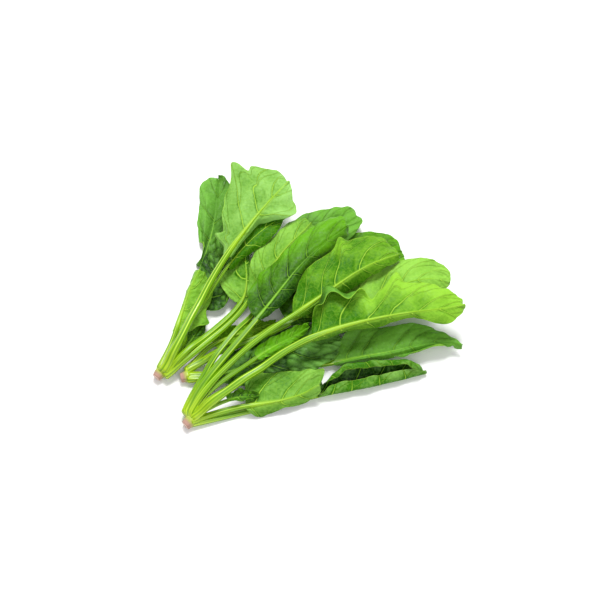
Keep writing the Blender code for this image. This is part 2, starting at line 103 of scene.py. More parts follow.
# Plants: middle (mm) and heading (degrees) of the crown, radii of its cut face and of the sheath behind it, half of
# the crown's length and length of the sheath
PLANTS = {
    "a": dict(centre=(-118, -75.2, 4.8), heading=55, radii=(3.8, 5.2), half=2.4, collar_length=9),
    "b": dict(centre=(-97, -76.5, 4.5), heading=14, radii=(3.9, 4.9), half=2.2, collar_length=8),
    "c": dict(centre=(-92, -119, 4.7), heading=45, radii=(4.0, 5.6), half=2.4, collar_length=9),
}

# Leaves from the lowest to the highest. heading and height are given at 0, 1/3, 2/3 and the end of the
# petiole, then at 1/3, 2/3 and the end of the midrib. left and right are the reaches of the two halves at
# STATIONS, rises are the heights of the margin over the midrib at its base, middle and end. wave is the ripple
# of the margin: its height, how many there are and where they start. marks are points and notches of the margin:
# side, place along the midrib, size and width. crease lifts a fold in each half.
LEAF_KEYS = ("name", "plant", "start", "petiole", "rib", "radius", "face", "heading", "height", "left", "right",
             "left_rise", "right_rise", "wave", "marks", "crease")
LEAVES = [dict(zip(LEAF_KEYS, row)) for row in (
    ("b1", "b", (-93.9, -70.8), 33, 55, 2.6, "under", (53, 52, 48, 34, 21, 21, 23), (6, 6, 6, 6, 6, 6, 6),
     (3, 7, 9, 9, 8, 6, 3), (3, 8, 10, 10, 8, 6, 3), (2, 3, 2), (1, -1, -1), (2.2, 2.6, 0.4)),
    ("b3", "b", (-92.1, -75.4), 121, 108, 3.0, "upper", (0, 5, 8, 8, 8, 14, -15), (4.5, 3.4, 3.2, 5, 10, 13, 10),
     (5, 21, 25, 22, 20.5, 13, 6), (3, 3, 4, 5, 5, 4, 3), (2, 1, -2), (-4, -6, -4), (1.6, 2.4, 0.6)),
    ("b4", "b", (-92, -78), 22, 107, 3.0, "upper", (-3, 1, 6, 14, 20, 20, 17), (4.5, 4.7, 5, 5.2, 6, 8.5, 13.5),
     (3, 13, 18, 21, 21, 18, 8), (5, 13, 20, 25, 27, 24, 13), (3, 2, 2), (0, -2, -2), (1.6, 1.5, 1.0)),
    ("c8", "c", (-87, -118), 105, 92, 2.6, "upper", (14, 15, 14, 14, 12, 13, 14), (4, 2, 1, 0.6, 0.4, 0.3, 0.2),
     (3, 10, 17, 16, 14.5, 13, 7), (3, 6, 7, 7, 6, 6, 4), (10, 17, 15), (7, 9, 7), (1.2, 1.6, 0.0)),
    ("c7", "c", (-88, -117.4), 46, 61, 2.8, "under", (22, 18, 14, 7, 8, 19, 22), (6, 6, 7, 9, 11, 12, 11),
     (8, 27, 27.5, 27, 25, 22, 18), (3.5, 7, 6.5, 5, 5.5, 6, 6), (-2, -2, -2), (-4, -5, -4), (1.4, 1.6, 0.8),
     (("left", 0.05, 5, 0.05),)),
    ("c11", "c", (-86, -113), 29, 25, 1.8, "upper", (24, 24, 23, 18, 10, 8, 12), (7, 9, 11, 12, 12, 11, 10),
     (3, 4, 5, 6, 5, 4, 3), (2.5, 3, 4, 4, 4, 3, 2.5), (2, 2, 2), (1, 1, 1), (1.8, 2.4, 0.0)),
    ("a3", "a", (-116, -70), 106, 95, 2.8, "upper", (72, 71, 74, 77, 80, 86, 92), (5, 3, 1.5, 0.8, 0.5, 0.3, 0.2),
     (2.5, 3, 8, 13.5, 17, 20.5, 12), (3, 5, 8, 10, 12, 15, 10), (-2, -2, -2), (2, 3, 4), (0.8, 1.3, 0.0),
     (("left", 0.02, 4, 0.05),), (4.0, 0.0)),
    ("a6", "a", (-114, -71), 68, 74, 2.4, "upper", (58, 59, 62, 68, 76, 80, 79), (5, 3, 2.5, 3, 5, 8, 9),
     (3, 8, 13, 16, 16, 14, 5), (9, 16, 14, 12, 17, 25, 18), (-1, 1, 1), (0, 2, 2), (1.8, 1.7, 1.4)),
    ("a5", "a", (-113, -72), 28, 32, 1.8, "upper", (50, 52, 54, 56, 60, 62, 64), (5, 5, 5, 5, 5, 5, 5),
     (3, 4, 5, 6, 5, 4, 3), (3, 5, 6, 7, 6, 4, 3), (0, 1, 1), (0, -1, -1), (1.8, 2.2, 0.9)),
    ("a4", "a", (-115.7, -69.2), 34, 60, 2.9, "under", (70, 68, 70, 74, 77, 73, 60), (7, 8, 9, 11, 13, 14, 13),
     (3, 3, 3, 3, 4, 5, 8), (4, 14, 19, 20, 20.5, 14, 8), (-3, -6, -6), (-1, -4, -3), (1.4, 2.4, 0.3),
     (("right", 0.23, 6, 0.06),)),
    ("a9", "a", (-113, -73), 14, 24, 1.5, "under", (56, 58, 60, 62, 64, 64, 62), (7, 7, 6, 6, 6, 5, 5),
     (2, 3, 4, 4, 4, 3, 2), (2, 3, 4, 4, 4, 3, 2), (1, 1, 1), (0, 0, 0), (1.0, 2.0, 0.9)),
    ("b2", "b", (-93, -70.1), 93, 125, 3.0, "upper", (35, 20, 22, 30, 42, 42, 35), (6, 7, 8, 9, 10, 9, 3),
     (22, 30, 32, 35, 41, 34.5, 18), (3, 8, 14, 19, 24, 24, 11), (0, 1, -2), (0, 0, -3), (1.2, 1.5, 1.2)),
    ("b5", "b", (-93, -71), 104, 38, 1.8, "under", (35, 24, 22, 24, 24, 28, 32), (6, 7, 8, 11, 15, 17, 17),
     (3, 8, 10, 9, 8, 6, 3), (3, 5, 6, 6, 5, 4, 3), (0, 1, 0), (-1, -2, -1), (1.4, 1.8, 0.5)),
    ("c9", "c", (-93.7, -110.2), 148, 92, 2.6, "upper", (70, 56, 55, 52, 48, 43, 44), (8, 13, 14, 14, 14, 12, 8),
     (5, 14, 25, 31, 26, 20.5, 15), (3, 8, 13, 16, 17, 16, 10), (0, 2, -2), (0, 1, -2), (1.2, 1.3, 0.2)),
    ("a7", "a", (-112.2, -74.5), 89, 51, 2.8, "under", (38, 47, 44, 60, 87, 94, 90), (7, 10, 12, 14, 17, 18, 16),
     (7, 17, 22, 24, 12, 6, 4), (3, 3, 3, 3, 4, 5, 4), (-1, -2, -2), (-1, -2, -3), (1.2, 1.6, 0.7)),
    ("a8", "a", (-111.3, -76.4), 97, 89, 2.7, "under", (36, 42, 45, 53, 62, 51, 51), (7, 9, 12, 17, 21, 24, 23),
     (4, 10, 17.5, 23, 19, 20, 12), (3, 11, 15, 19, 22, 20, 10), (-2, -4, -3), (0, 2, -2), (1.2, 1.7, 0.0)),
    ("a2", "a", (-115, -71), 105, 70, 1.7, "under", (57, 60, 61, 56, 51, 43, 38), (7, 12, 18, 24, 26, 27, 25),
     (3, 4, 7, 10, 13, 9, 4), (3, 4, 6, 9, 11, 9, 4), (-1, -1, -1), (-5, -6, -4), (0.8, 1.2, 0.5)),
    ("a1", "a", (-112.9, -72.9), 111, 91, 3.5, "under", (57, 66, 64, 57, 55, 55, 56), (9, 16, 24, 32, 37, 38, 34),
     (4, 10.3, 24.5, 39, 49, 34, 16.5), (3, 3, 3, 3, 25, 15.5, 7), (-3, -5, -3), (-4, -7, -2), (1.4, 1.4, 0.2),
     (("left", 0.154, 10, 0.035), ("left", 0.6, 10, 0.035), ("left", 0.66, -6, 0.02))),
    ("c5", "c", (-86.8, -109.4), 68, 51, 2.4, "upper", (61, 43, 33, 34, 31, 34, 39), (8, 11, 14, 18, 20, 20, 19),
     (4, 6, 6.5, 6.5, 6.5, 6, 4), (4, 5, 6, 6, 5.5, 4.5, 3), (2, 3, 2), (-1, -2, -2), (1.6, 2.6, 0.0)),
    ("c1", "c", (-92.3, -110.2), 96, 117, 3.2, "upper", (66, 53, 51, 52, 55, 46, 39), (8, 16, 21, 25, 28, 31, 30),
     (8, 20, 23.5, 20, 23, 24, 17), (3, 7, 10, 9, 9, 9.5, 8), (-3, -4, -3), (-2, -9, -7), (1.4, 1.8, 1.1)),
    ("c3", "c", (-87.4, -111.9), 138, 108, 2.5, "under", (28, 35, 31, 36, 30, 22, -14), (7, 11, 17, 23, 28, 31, 28),
     (6, 20, 26, 28, 27, 24, 12), (3, 5, 9, 13, 17, 16, 9), (-3, -3, -2), (-3, -4, -3), (1.5, 1.7, 0.6)),
    ("c2", "c", (-89, -110), 116, 105, 2.75, "under", (61, 45, 36, 34, 36, 34, 23), (9, 17, 26, 33, 38, 40, 35),
     (5, 17, 30, 33, 36, 31, 12), (3, 4, 5, 5, 6, 8, 7), (-3, -6, -4), (-6, -9, -3), (1.6, 2.0, 0.9),
     (("left", 0.556, 7, 0.03),)),
    ("c4", "c", (-85.9, -114.6), 115, 129, 3.2, "under", (34, 35, 34, 20, 12, 10, 19), (8, 15, 24, 32, 38, 40, 34),
     (4, 26, 27, 31, 34.5, 26, 13), (3, 3, 3, 4, 0.5, 15, 8), (-4, -4, -4), (-3, -5, -4), (1.5, 2.1, 0.2),
     (("left", 0.18, 8, 0.05), ("left", 0.385, -10, 0.035), ("left", 0.505, 13, 0.035))),
)]
SMALL_LEAVES = {"b1", "b5", "c11", "a5", "a9"}

# How light each leaf is on its shown face, from 0 (deep) to 1 (pale): at its base, at its tip, and what its
# left and right margins add. Partly the leaf's own colour and partly painted shade: leaves and halves that lie in
# shade, such as a2, b5, c1's right half and c4's base, are set deeper.
LEAF_TONES_AND_SHADE = {
    "a1": (0.5, 0.68, 0, 0.4), "a2": (0, 0, 0, 0), "a3": (0.4, 0.75, 0.75, -0.2), "a4": (0.6, 0.65, 0, 0),
    "a5": (0.4, 0.4, 0, 0), "a6": (0.15, 0.4, 0, 0.1), "a7": (0.5, 0.05, 0, 0), "a8": (0.55, 0.55, 0, 0),
    "a9": (1, 1, 0, 0), "b1": (0.55, 0.6, 0, 0), "b2": (0.2, 0.85, 0, 0), "b3": (0.7, 0.9, 0.2, 0),
    "b4": (0.3, 0.55, 0, 0), "b5": (0, 0, 0, 0), "c1": (0.15, 0.72, 0.5, -0.35), "c2": (0.12, 0.4, 0.1, -0.1),
    "c3": (0.75, 0.85, 0, 0), "c4": (0, 0.68, 1, 0.1), "c5": (1.2, 1.2, 0, 0), "c7": (0.4, 0.4, 0, 0),
    "c8": (0, 0, 0, 0.25), "c9": (0.6, 0.8, 0, 0), "c11": (0.5, 0.5, 0, 0),
}
# How much painted bluish sheen there is on a leaf
PAINTED_SHEEN = {
    "a1": 0.9, "a3": 0.3, "a4": 0.3, "a6": 0.3, "a7": 0.5, "a8": 0.5, "b3": 0.2, "b4": 0.4,
    "c2": 0.15, "c3": 0.4, "c4": 0.2, "c7": 0.6, "c8": 1.0, "c9": 0.2,
}
# How stout the midrib is beside the solid's, where it isn't as stout
STOUT = {"a2": 0.15, "c3": 0.5, "b5": 0.6, "a7": 0.6}
# Margins that roll up and over: shares where the roll starts and ends, angle, radius and extra width (mm)
CURLS = {
    ("c4", "left"): (0.0, 0.40, 172, 1.2, 11.0), ("c8", "left"): (0.06, 1.02, 150, 2.2, 6.0),
    ("c8", "right"): (0.0, 1.02, 104, 3.2, 8.0), ("b3", "right"): (0.45, 0.92, 150, 1.2, 4.0),
    ("a1", "left"): (0.22, 0.48, 50, 2.5, 1.0), ("c3", "left"): (0.10, 0.42, 70, 2.0, 1.5),
    ("a3", "left"): (0.10, 0.60, 90, 2.0, 2.0), ("b2", "right"): (0.50, 0.9, 60, 2.0, 1.0),
    ("a6", "right"): (0.05, 0.5, 120, 1.5, 3.0),
}
# Crinkles of the young and ruffled leaves (mm)
CRINKLES = {
    "c5": 1.1, "b1": 1.2, "a5": 0.8, "a9": 0.9, "c11": 0.9, "b5": 0.9, "a4": 0.7, "a6": 0.7,
    "a7": 0.35, "b4": 0.75,
}


def spline(knots, values, at):
    """Smooth curve through the values: cubic Hermite pieces with slopes taken from the neighbours."""
    knots = np.asarray(knots, float)
    values = np.asarray(values, float)
    at = np.asarray(at, float)
    slope = np.gradient(values, knots)
    i = np.clip(np.searchsorted(knots, at, side="right") - 1, 0, len(knots) - 2)
    h = knots[i + 1] - knots[i]
    t = (at - knots[i]) / h
    return (
        (1 + 2 * t) * (1 - t) ** 2 * values[i]
        + t * (1 - t) ** 2 * h * slope[i]
        + t * t * (3 - 2 * t) * values[i + 1]
        + t * t * (t - 1) * h * slope[i + 1]
    )


def line_at(leaf, at):
    """Point and heading of a stem line: the heading's cosine and sine summed along the length."""
    petiole, rib = leaf["petiole"], leaf["rib"]
    total = petiole + rib
    knots = [petiole * k / 3 for k in range(4)] + [petiole + rib * k / 3 for k in (1, 2, 3)]
    fine = np.linspace(0, total, LINE_STEPS + 1)
    heading = np.radians(spline(knots, leaf["heading"], fine))
    height = spline(knots, leaf["height"], fine)
    step = total / LINE_STEPS
    x, y = (first + np.concatenate([[0], np.cumsum((way[1:] + way[:-1]) / 2 * step)])
            for first, way in zip(leaf["start"], (np.cos(heading), np.sin(heading))))
    point = np.stack([np.interp(at, fine, c) for c in (x, y, height)], axis=1)
    return point, np.interp(at, fine, heading)


def tube_radius(leaf, at):
    """Radius of the stem: full at the crown, less at the blade, thin at the end of the midrib."""
    ends = [0, 0.3 * leaf["petiole"], leaf["petiole"], leaf["petiole"] + leaf["rib"]]
    full = leaf["radius"]
    return np.interp(at, ends, [CROWN_FLARE * full, full, PETIOLE_TAPER * full, RIB_END_RADIUS])


def rib_radius(leaf, at):
    """Radius of the fine stem: the solid's as far as the blade, then what is left of the midrib to the power 2.2."""
    share = np.clip((at - leaf["petiole"]) / leaf["rib"], 0, 1)
    stout = STOUT.get(leaf["name"], 1.0)
    first = PETIOLE_TAPER * leaf["radius"] * (stout + (1 - stout) * np.exp(-share * 12))
    shrunk = 0.35 + (first - 0.35) * (1 - share) ** 2.2
    return np.where(share > 0, shrunk, tube_radius(leaf, at))


def blade_frame(leaf, share):
    """Rows of a blade: midrib points, strip over the stem, height of the middle, sweep, ways along and across."""
    at = leaf["petiole"] + leaf["rib"] * share
    point, heading = line_at(leaf, at)
    strip = tube_radius(leaf, at) + 0.4
    lift = strip - 0.4 + RIB_GAP + BLADE_THICKNESS / 2
    base = point[:, 2] + (lift if leaf["face"] == "upper" else -lift)
    sweep = np.radians(-5 + 65 * share**1.5)
    tangent = np.stack([np.cos(heading), np.sin(heading)], axis=1)
    normal = np.stack([-np.sin(heading), np.cos(heading)], axis=1)
    return point, strip, base, sweep, tangent, normal


def side_reach(leaf, key, share, strip):
    """Reach of a blade half: a smooth curve through its stations, with a bell for each point or notch."""
    reach = spline(STATIONS, leaf[key] + (TIP_REACH,), share)
    for mark_side, where, size, width in leaf.get("marks", ()):
        if mark_side == key:
            reach = reach + size * np.exp(-(((share - where) / width) ** 2))
    return np.maximum(reach, strip + 0.8)


def side_height(leaf, key, side, share, q):
    """Height of a blade half over its middle: rise times q to 1.6, plus a fold and a ripple that grows outwards."""
    amount, count, phase = leaf["wave"]
    rise = spline((0, 0.5, 1), leaf[key + "_rise"], share) * np.minimum(1, share / 0.08 + 0.2)
    crease = leaf.get("crease", (0, 0))[0 if side == 1 else 1]
    fold = crease * (1 - abs(2 * q - 1)) * np.sin(math.pi * np.clip(share, 0, 1)) ** 0.5
    ripple = amount * q * q * np.sin(2 * math.pi * (count * share + phase + 0.3 * side))
    return rise * q**1.6 + fold + ripple * np.minimum(1, share * 6)


def blade_grid(leaf, share):
    """Middle surface of the solid's blade: rows along the midrib, columns from left to right."""
    point, strip, base, sweep, tangent, normal = blade_frame(leaf, share)
    columns = []
    for side, key, order in ((1, "left", COLUMNS[::-1]), (-1, "right", COLUMNS)):
        reach = side_reach(leaf, key, share, strip)
        for q in order:
            distance = strip + (reach - strip) * q
            way = side * normal * np.cos(sweep)[:, None] + tangent * np.sin(sweep)[:, None]
            flat = point[:, :2] + way * distance[:, None]
            columns.append(np.column_stack([flat, base + side_height(leaf, key, side, share, q)]))
    return np.stack(columns, axis=1)


def grid_triangles(rows, columns):
    """Triangles of a grid, with diagonals that turn from square to square."""
    i, j = np.indices((rows - 1, columns - 1)).reshape(2, -1)
    a = i * columns + j
    b, c, d = a + 1, a + columns, a + columns + 1
    odd = ((i + j) % 2 == 1)[:, None]
    first = np.where(odd, np.stack([a, b, d], 1), np.stack([a, b, c], 1))
    second = np.where(odd, np.stack([a, d, c], 1), np.stack([b, d, c], 1))
    return np.concatenate([first, second])


def tube_points(leaf, at, lift):
    """Rings of the solid's stem round its line, each ring lifted by its own amount."""
    point, heading = line_at(leaf, at)
    radius = tube_radius(leaf, at)
    turn = 2 * math.pi * (np.arange(TUBE_SIDES) + 0.5) / TUBE_SIDES
    across = radius[:, None] * np.cos(turn)
    up = radius[:, None] * np.sin(turn) * STEM_FLATNESS
    x = point[:, :1] - np.sin(heading)[:, None] * across
    y = point[:, 1:2] + np.cos(heading)[:, None] * across
    return np.stack([x, y, point[:, 2:] + lift[:, None] + up], axis=2)


def tube_triangles(rings, sides):
    """Side triangles of a tube, faces out."""
    i, j = np.indices((rings - 1, sides)).reshape(2, -1)
    a = i * sides + j
    b = i * sides + (j + 1) % sides
    return np.concatenate([np.stack([a, b, a + sides], 1), np.stack([b, b + sides, a + sides], 1)])


def samples(points, triangles):
    """Points spread over each triangle, closer than a map cell."""
    n = SAMPLE_STEPS
    weights = np.array([(i, j, n - i - j) for i in range(n + 1) for j in range(n + 1 - i)]) / n
    return np.einsum("kc,tcx->tkx", weights, points[triangles])


def cells_of(spread):
    """Map cell of each sample."""
    return np.clip(np.floor(spread[..., :2] / CELL).astype(int) + CELLS // 2, 1, CELLS - 2)


def widen(heights):
    """Each cell takes the highest value of itself and its neighbours."""
    out = heights.copy()
    for dx in (-1, 0, 1):
        for dy in (-1, 0, 1):
            out = np.maximum(out, np.roll(np.roll(heights, dx, 0), dy, 1))
    return out


def add_to_map(heights, points, triangles):
    """Raise the map to the samples of a mesh."""
    spread = samples(points, triangles)
    cell = cells_of(spread)
    np.maximum.at(heights, (cell[..., 0], cell[..., 1]), spread[..., 2])


def needed(heights, points, triangles, count):
    """Least lift of each vertex that holds its triangles clear of the map."""
    spread = samples(points, triangles)
    cell = cells_of(spread)
    need = (heights[cell[..., 0], cell[..., 1]] + LAYER_GAP - spread[..., 2]).max(axis=1)
    lift = np.full(count, -1e9)
    for corner in range(3):
        np.maximum.at(lift, triangles[:, corner], need)
    return lift


def secant(grid):
    """How much the vertical thickness grows where the blade is steep."""
    normal = np.cross(np.gradient(grid, axis=0), np.gradient(grid, axis=1))
    steep = np.linalg.norm(normal, axis=2) / np.maximum(np.abs(normal[..., 2]), 1e-9)
    return np.clip(steep, 1, 2.2)


def lay_leaf(leaf, maps):
    """Lifts of a leaf's stem stations and blade points that hold it clear of the maps, which it is then added to."""
    rows, spacing = SMALL_LAY if leaf["name"] in SMALL_LEAVES else LARGE_LAY
    share = np.linspace(0, 1, rows)
    grid = blade_grid(leaf, share)
    columns = grid.shape[1]
    half = columns // 2
    petiole_rings = max(3, round(leaf["petiole"] / spacing))
    rib_rows = rows - 1
    petiole_at = np.linspace(0, leaf["petiole"], petiole_rings + 1)[:-1]
    at = np.concatenate([petiole_at, leaf["petiole"] + leaf["rib"] * share[:rib_rows]])
    rings = tube_points(leaf, at, np.zeros(len(at)))
    blade_tri = grid_triangles(rows, columns)
    tube_tri = tube_triangles(len(at), TUBE_SIDES)
    under = grid.copy()
    under[..., 2] -= BLADE_THICKNESS / 2 * STEEP_ALLOWANCE
    everything = np.maximum(widen(np.maximum.reduce(list(maps.values()))), -LAYER_GAP - BLADE_SINK)
    others = np.maximum.reduce([maps[key] for key in maps if key != leaf["plant"]])
    others = np.maximum(widen(others), -LAYER_GAP - STEM_SINK)
    blade_need = needed(everything, under.reshape(-1, 3), blade_tri, rows * columns).reshape(rows, columns)
    tube_need = needed(others, rings.reshape(-1, 3), tube_tri, rings.size // 3)
    centre, _ = line_at(leaf, at)
    station_need = tube_need.reshape(len(at), TUBE_SIDES).max(axis=1)
    middle = blade_need[:rib_rows, half - 1:half + 1].max(axis=1)
    station_need[petiole_rings:] = np.maximum(station_need[petiole_rings:], middle)
    places = np.concatenate([centre[:, :2], grid[..., :2].reshape(-1, 2)])
    needs = np.maximum(np.concatenate([station_need, blade_need.reshape(-1)]), 0)
    apart = np.linalg.norm(places[:, None] - places[None], axis=2)
    lift = np.maximum((needs[None] - LIFT_SLOPE * apart).max(axis=1), 0)
    ring_lift = lift[: len(at)]
    ring_lift[0] = 0
    blade_lift = lift[len(at):].reshape(rows, columns)
    blade_lift[:rib_rows, half - 1:half + 1] = ring_lift[petiole_rings:, None]
    grid[..., 2] += blade_lift
    thick = BLADE_THICKNESS / 2 * secant(grid)
    top = grid.copy()
    top[..., 2] += thick + np.maximum(0, thick - grid[..., 2])
    bottom = top.copy()
    bottom[..., 2] -= 2 * thick
    both = np.concatenate([top.reshape(-1, 3), bottom.reshape(-1, 3)])
    add_to_map(maps["blades"], both, blade_tri)
    rings = tube_points(leaf, at, ring_lift).reshape(-1, 3)
    rings[:, 2] = np.maximum(rings[:, 2], 0)
    add_to_map(maps[leaf["plant"]], rings, tube_tri)
    end = blade_lift[-1, half - 1:half + 1].mean()
    at = np.append(at, leaf["petiole"] + leaf["rib"])
    return dict(at=at, ring_lift=np.append(ring_lift, end), blade_lift=blade_lift)


def blur(values, reach, axis):
    """Smooths along an axis: each value becomes the mean of its neighbours, three times over."""
    for _ in range(3):
        padded = np.pad(values, [(reach, reach) if k == axis else (0, 0) for k in range(values.ndim)], mode="edge")
        total = np.cumsum(padded, axis=axis)
        total = np.insert(total, 0, 0, axis=axis)
        width = 2 * reach + 1
        high = np.take(total, np.arange(width, total.shape[axis]), axis=axis)
        low = np.take(total, np.arange(0, total.shape[axis] - width), axis=axis)
        values = (high - low) / width
    return values


def line_lift(leaf, laid, at):
    """Lift of the stem line at any distance: the laid stations joined straight, then smoothed over about 8 mm."""
    total = leaf["petiole"] + leaf["rib"]
    fine = np.linspace(0, total, 361)
    joined = np.interp(fine, laid["at"], laid["ring_lift"])
    smooth = blur(joined, max(1, round(4.0 / (total / 360))), 0)
    smooth = joined[0] + (smooth - joined[0]) * np.minimum(1, fine / 12)
    return np.interp(at, fine, smooth)


def spread_lift(laid, share, q, left):
    """Lift of the blade at rows and columns: bilinear between the laid points, then smoothed."""
    coarse = laid["blade_lift"]
    rows = np.linspace(0, 1, len(coarse))
    by_row = np.stack([np.interp(share, rows, coarse[:, k]) for k in range(coarse.shape[1])], axis=1)
    half = coarse.shape[1] // 2
    left_half = by_row[:, half - 1::-1]
    right_half = by_row[:, half:]
    k = np.clip(np.searchsorted(COLUMNS, q, side="right") - 1, 0, len(COLUMNS) - 2)
    steps = np.asarray(COLUMNS)
    t = (q - steps[k]) / (steps[k + 1] - steps[k])
    on_left = left_half[:, k] * (1 - t) + left_half[:, k + 1] * t
    on_right = right_half[:, k] * (1 - t) + right_half[:, k + 1] * t
    lift = np.where(left[None, :], on_left, on_right)
    return blur(blur(lift, max(1, len(share) // 26), 0), max(1, len(q) // 22), 1)


def sines(seed, u, v, longest, shortest, count):
    """Even bumps: the mean of seeded sine waves of many headings, with lengths between the two given."""
    random = np.random.default_rng(seed)
    out = np.zeros(np.broadcast(u, v).shape)
    for _ in range(count):
        angle = random.uniform(0, 2 * math.pi)
        length = random.uniform(shortest, longest)
        across = u * math.cos(angle) + v * math.sin(angle)
        out += np.sin(2 * math.pi * across / length + random.uniform(0, 2 * math.pi))
    return out / math.sqrt(count)


def smoothstep(low, high, value):
    """Rises from 0 to 1 between low and high, level at both ends."""
    t = np.clip((value - low) / (high - low), 0, 1)
    return t * t * (3 - 2 * t)


def vein_phases(leaf, seed, share, q, left):
    """Counts the side veins: a vein runs where the phase is whole. It starts at its place on the midrib and leads
    forward with q to 1.2, by about 40 degrees. The second phase is the fork, which leaves it before its middle."""
    pairs = max(3, round(leaf["rib"] / 22))
    random = np.random.default_rng(seed)
    phases = []
    forks = []
    for key in ("left", "right"):
        starts = (np.arange(pairs + 3) - 0.6 + random.uniform(-0.24, 0.24, pairs + 3)) / pairs * 0.9
        turn = np.clip(0.8 * np.mean(leaf[key][1:6]) / leaf["rib"], 0.04, 0.28)
        along = share[:, None] - turn * q[None, :] ** 1.2
        fork = along - 0.55 / pairs * np.maximum(0, q[None, :] - 0.42) / 0.58
        phases.append(np.interp(along, starts, np.arange(pairs + 3), left=-0.5))
        forks.append(np.interp(fork, starts, np.arange(pairs + 3), left=-0.5))
    phase = np.where(left[None, :], phases[0], phases[1] + 20)
    fork = np.where(left[None, :], forks[0], forks[1] + 20)
    return phase, fork, leaf["rib"] / pairs * 0.9


def curl_window(curl, share):
    """How much of a curl there is at each share: none outside its ends, all of it between."""
    first, last = curl[:2]
    return smoothstep(first - 0.02, first + 0.14, share) * (1 - smoothstep(last - 0.14, last + 0.02, share))


def half_section(leaf, key, side, share, strip, reach, inner, q):
    """Cross-section of a blade half. The distance out grows evenly to where the roll starts, goes round an arc that
    begins at the blade's own slope, and past the arc straight on. Returns distance out, height and length run."""
    row = share[:, None]
    curl = CURLS.get((leaf["name"], key))
    angle, radius, extra = (0, 1.0, 0) if curl is None else curl[2:]
    window = np.zeros(len(share)) if curl is None else curl_window(curl, share)
    whole = reach + extra * window
    run = np.where(inner < 1, inner * strip[:, None], strip[:, None] + (whole - strip)[:, None] * q)
    start = np.maximum(reach - radius * (window > 0.02), 0.3 * reach + 0.7 * strip)[:, None]
    span = (reach - strip)[:, None]
    level = np.minimum(run, np.where(window[:, None] > 0.02, start, 1e9))
    share_out = np.clip((level - strip[:, None]) / span, 0, 1)
    height = side_height(leaf, key, side, row, share_out)
    if curl is None:
        return run, height, run
    at_start = np.clip((start - strip[:, None]) / span, 0.06, 1)
    rise = side_height(leaf, key, side, row, at_start) - side_height(leaf, key, side, row, at_start - 0.05)
    slope = np.arctan2(rise, 0.05 * span)
    most = np.radians(angle) * window[:, None]
    past = np.maximum(run - start, 0) * (window[:, None] > 0.02)
    theta = np.minimum(past / radius, most)
    rest = np.maximum(past - most * radius, 0)
    rolled = start + radius * (np.sin(slope + theta) - np.sin(slope)) + rest * np.cos(slope + most)
    out = np.where(past > 0, rolled, run)
    up = radius * (np.cos(slope) - np.cos(slope + theta)) + rest * np.sin(slope + most)
    return out, height + np.where(past > 0, up, 0), run


def blade_relief(leaf, number, sizes, run, off_strip, side_mm, at, row, q, nearest):
    """Relief of a blade and its crinkles: bulges between the veins, broad seeded waves, pillows, short wrinkles
    beside the midrib, creases of the young leaves and a rippled margin, added up and levelled off by tanh.
    Also returns the painted shade of the crinkles: paler on their tops, darker in their hollows."""
    face = 1 if leaf["face"] == "upper" else -1
    off_rib = smoothstep(1.0, 7.0, off_strip)
    bulge = sizes.quilting * face * (np.sin(math.pi / 2 * nearest) ** 0.7 - 0.6) * off_rib * (1 - 0.35 * q)
    bulge = bulge * smoothstep(0.0, 0.12, row) * (1 - smoothstep(0.9, 1.0, row))
    broad = sines(number * 13 + 5, side_mm, at, 34, 15, 7) * sizes.undulation * smoothstep(0.0, 14.0, run)
    pillow = np.abs(sines(number * 17 + 3, side_mm, at, 13, 7, 6))
    blister = face * (pillow - 0.7) * sizes.blister * off_rib
    pucker = sines(number * 31 + 6, side_mm * 0.45, at, 5.5, 3.2, 5) * sizes.pucker
    pucker = pucker * smoothstep(0.3, 2.0, off_strip) * np.exp(-np.maximum(off_strip, 0) / 5.0)
    crinkle = CRINKLES.get(leaf["name"], 0.0)
    longest, shortest = (8, 4) if leaf["name"] in SMALL_LEAVES else (14, 6)
    savoy = np.abs(sines(number * 29 + 4, side_mm, at, longest, shortest, 7)) - 0.7
    blister = blister + pucker + face * savoy * 1.4 * crinkle * smoothstep(0.3, 3.5, off_strip)
    margin = sizes.margin_ripple + 0.6 * crinkle
    edge_wave = sines(number * 19 + 2, side_mm * 0.3, at, 14, 8, 4) * margin * q**4
    relief = np.tanh((bulge + broad + blister + edge_wave) / RELIEF_LIMIT) * RELIEF_LIMIT
    # Painted shade of the crinkles: paler on their tops, darker in their hollows
    return relief, 0.3 * min(crinkle, 1.0) * savoy


def blade_saddle(leaf, run, row, solid_radius, radius, stout):
    """Height that a blade takes at its midrib, a bell across it: an upper face sinks on to the fine midrib, an
    underside rises to it."""
    full = solid_radius + RIB_GAP + BLADE_THICKNESS / 2
    if leaf["face"] == "upper":
        shown = 1 - smoothstep(0.0, 0.3, row)
        sink = full - (radius + 0.12 - (0.45 * radius + 0.12) * shown)
        return -sink * np.exp(-((run / (0.9 * solid_radius + 0.6)) ** 2))
    return RIB_RISE * full * stout * np.exp(-((run / (1.3 * radius + 1.2)) ** 2))


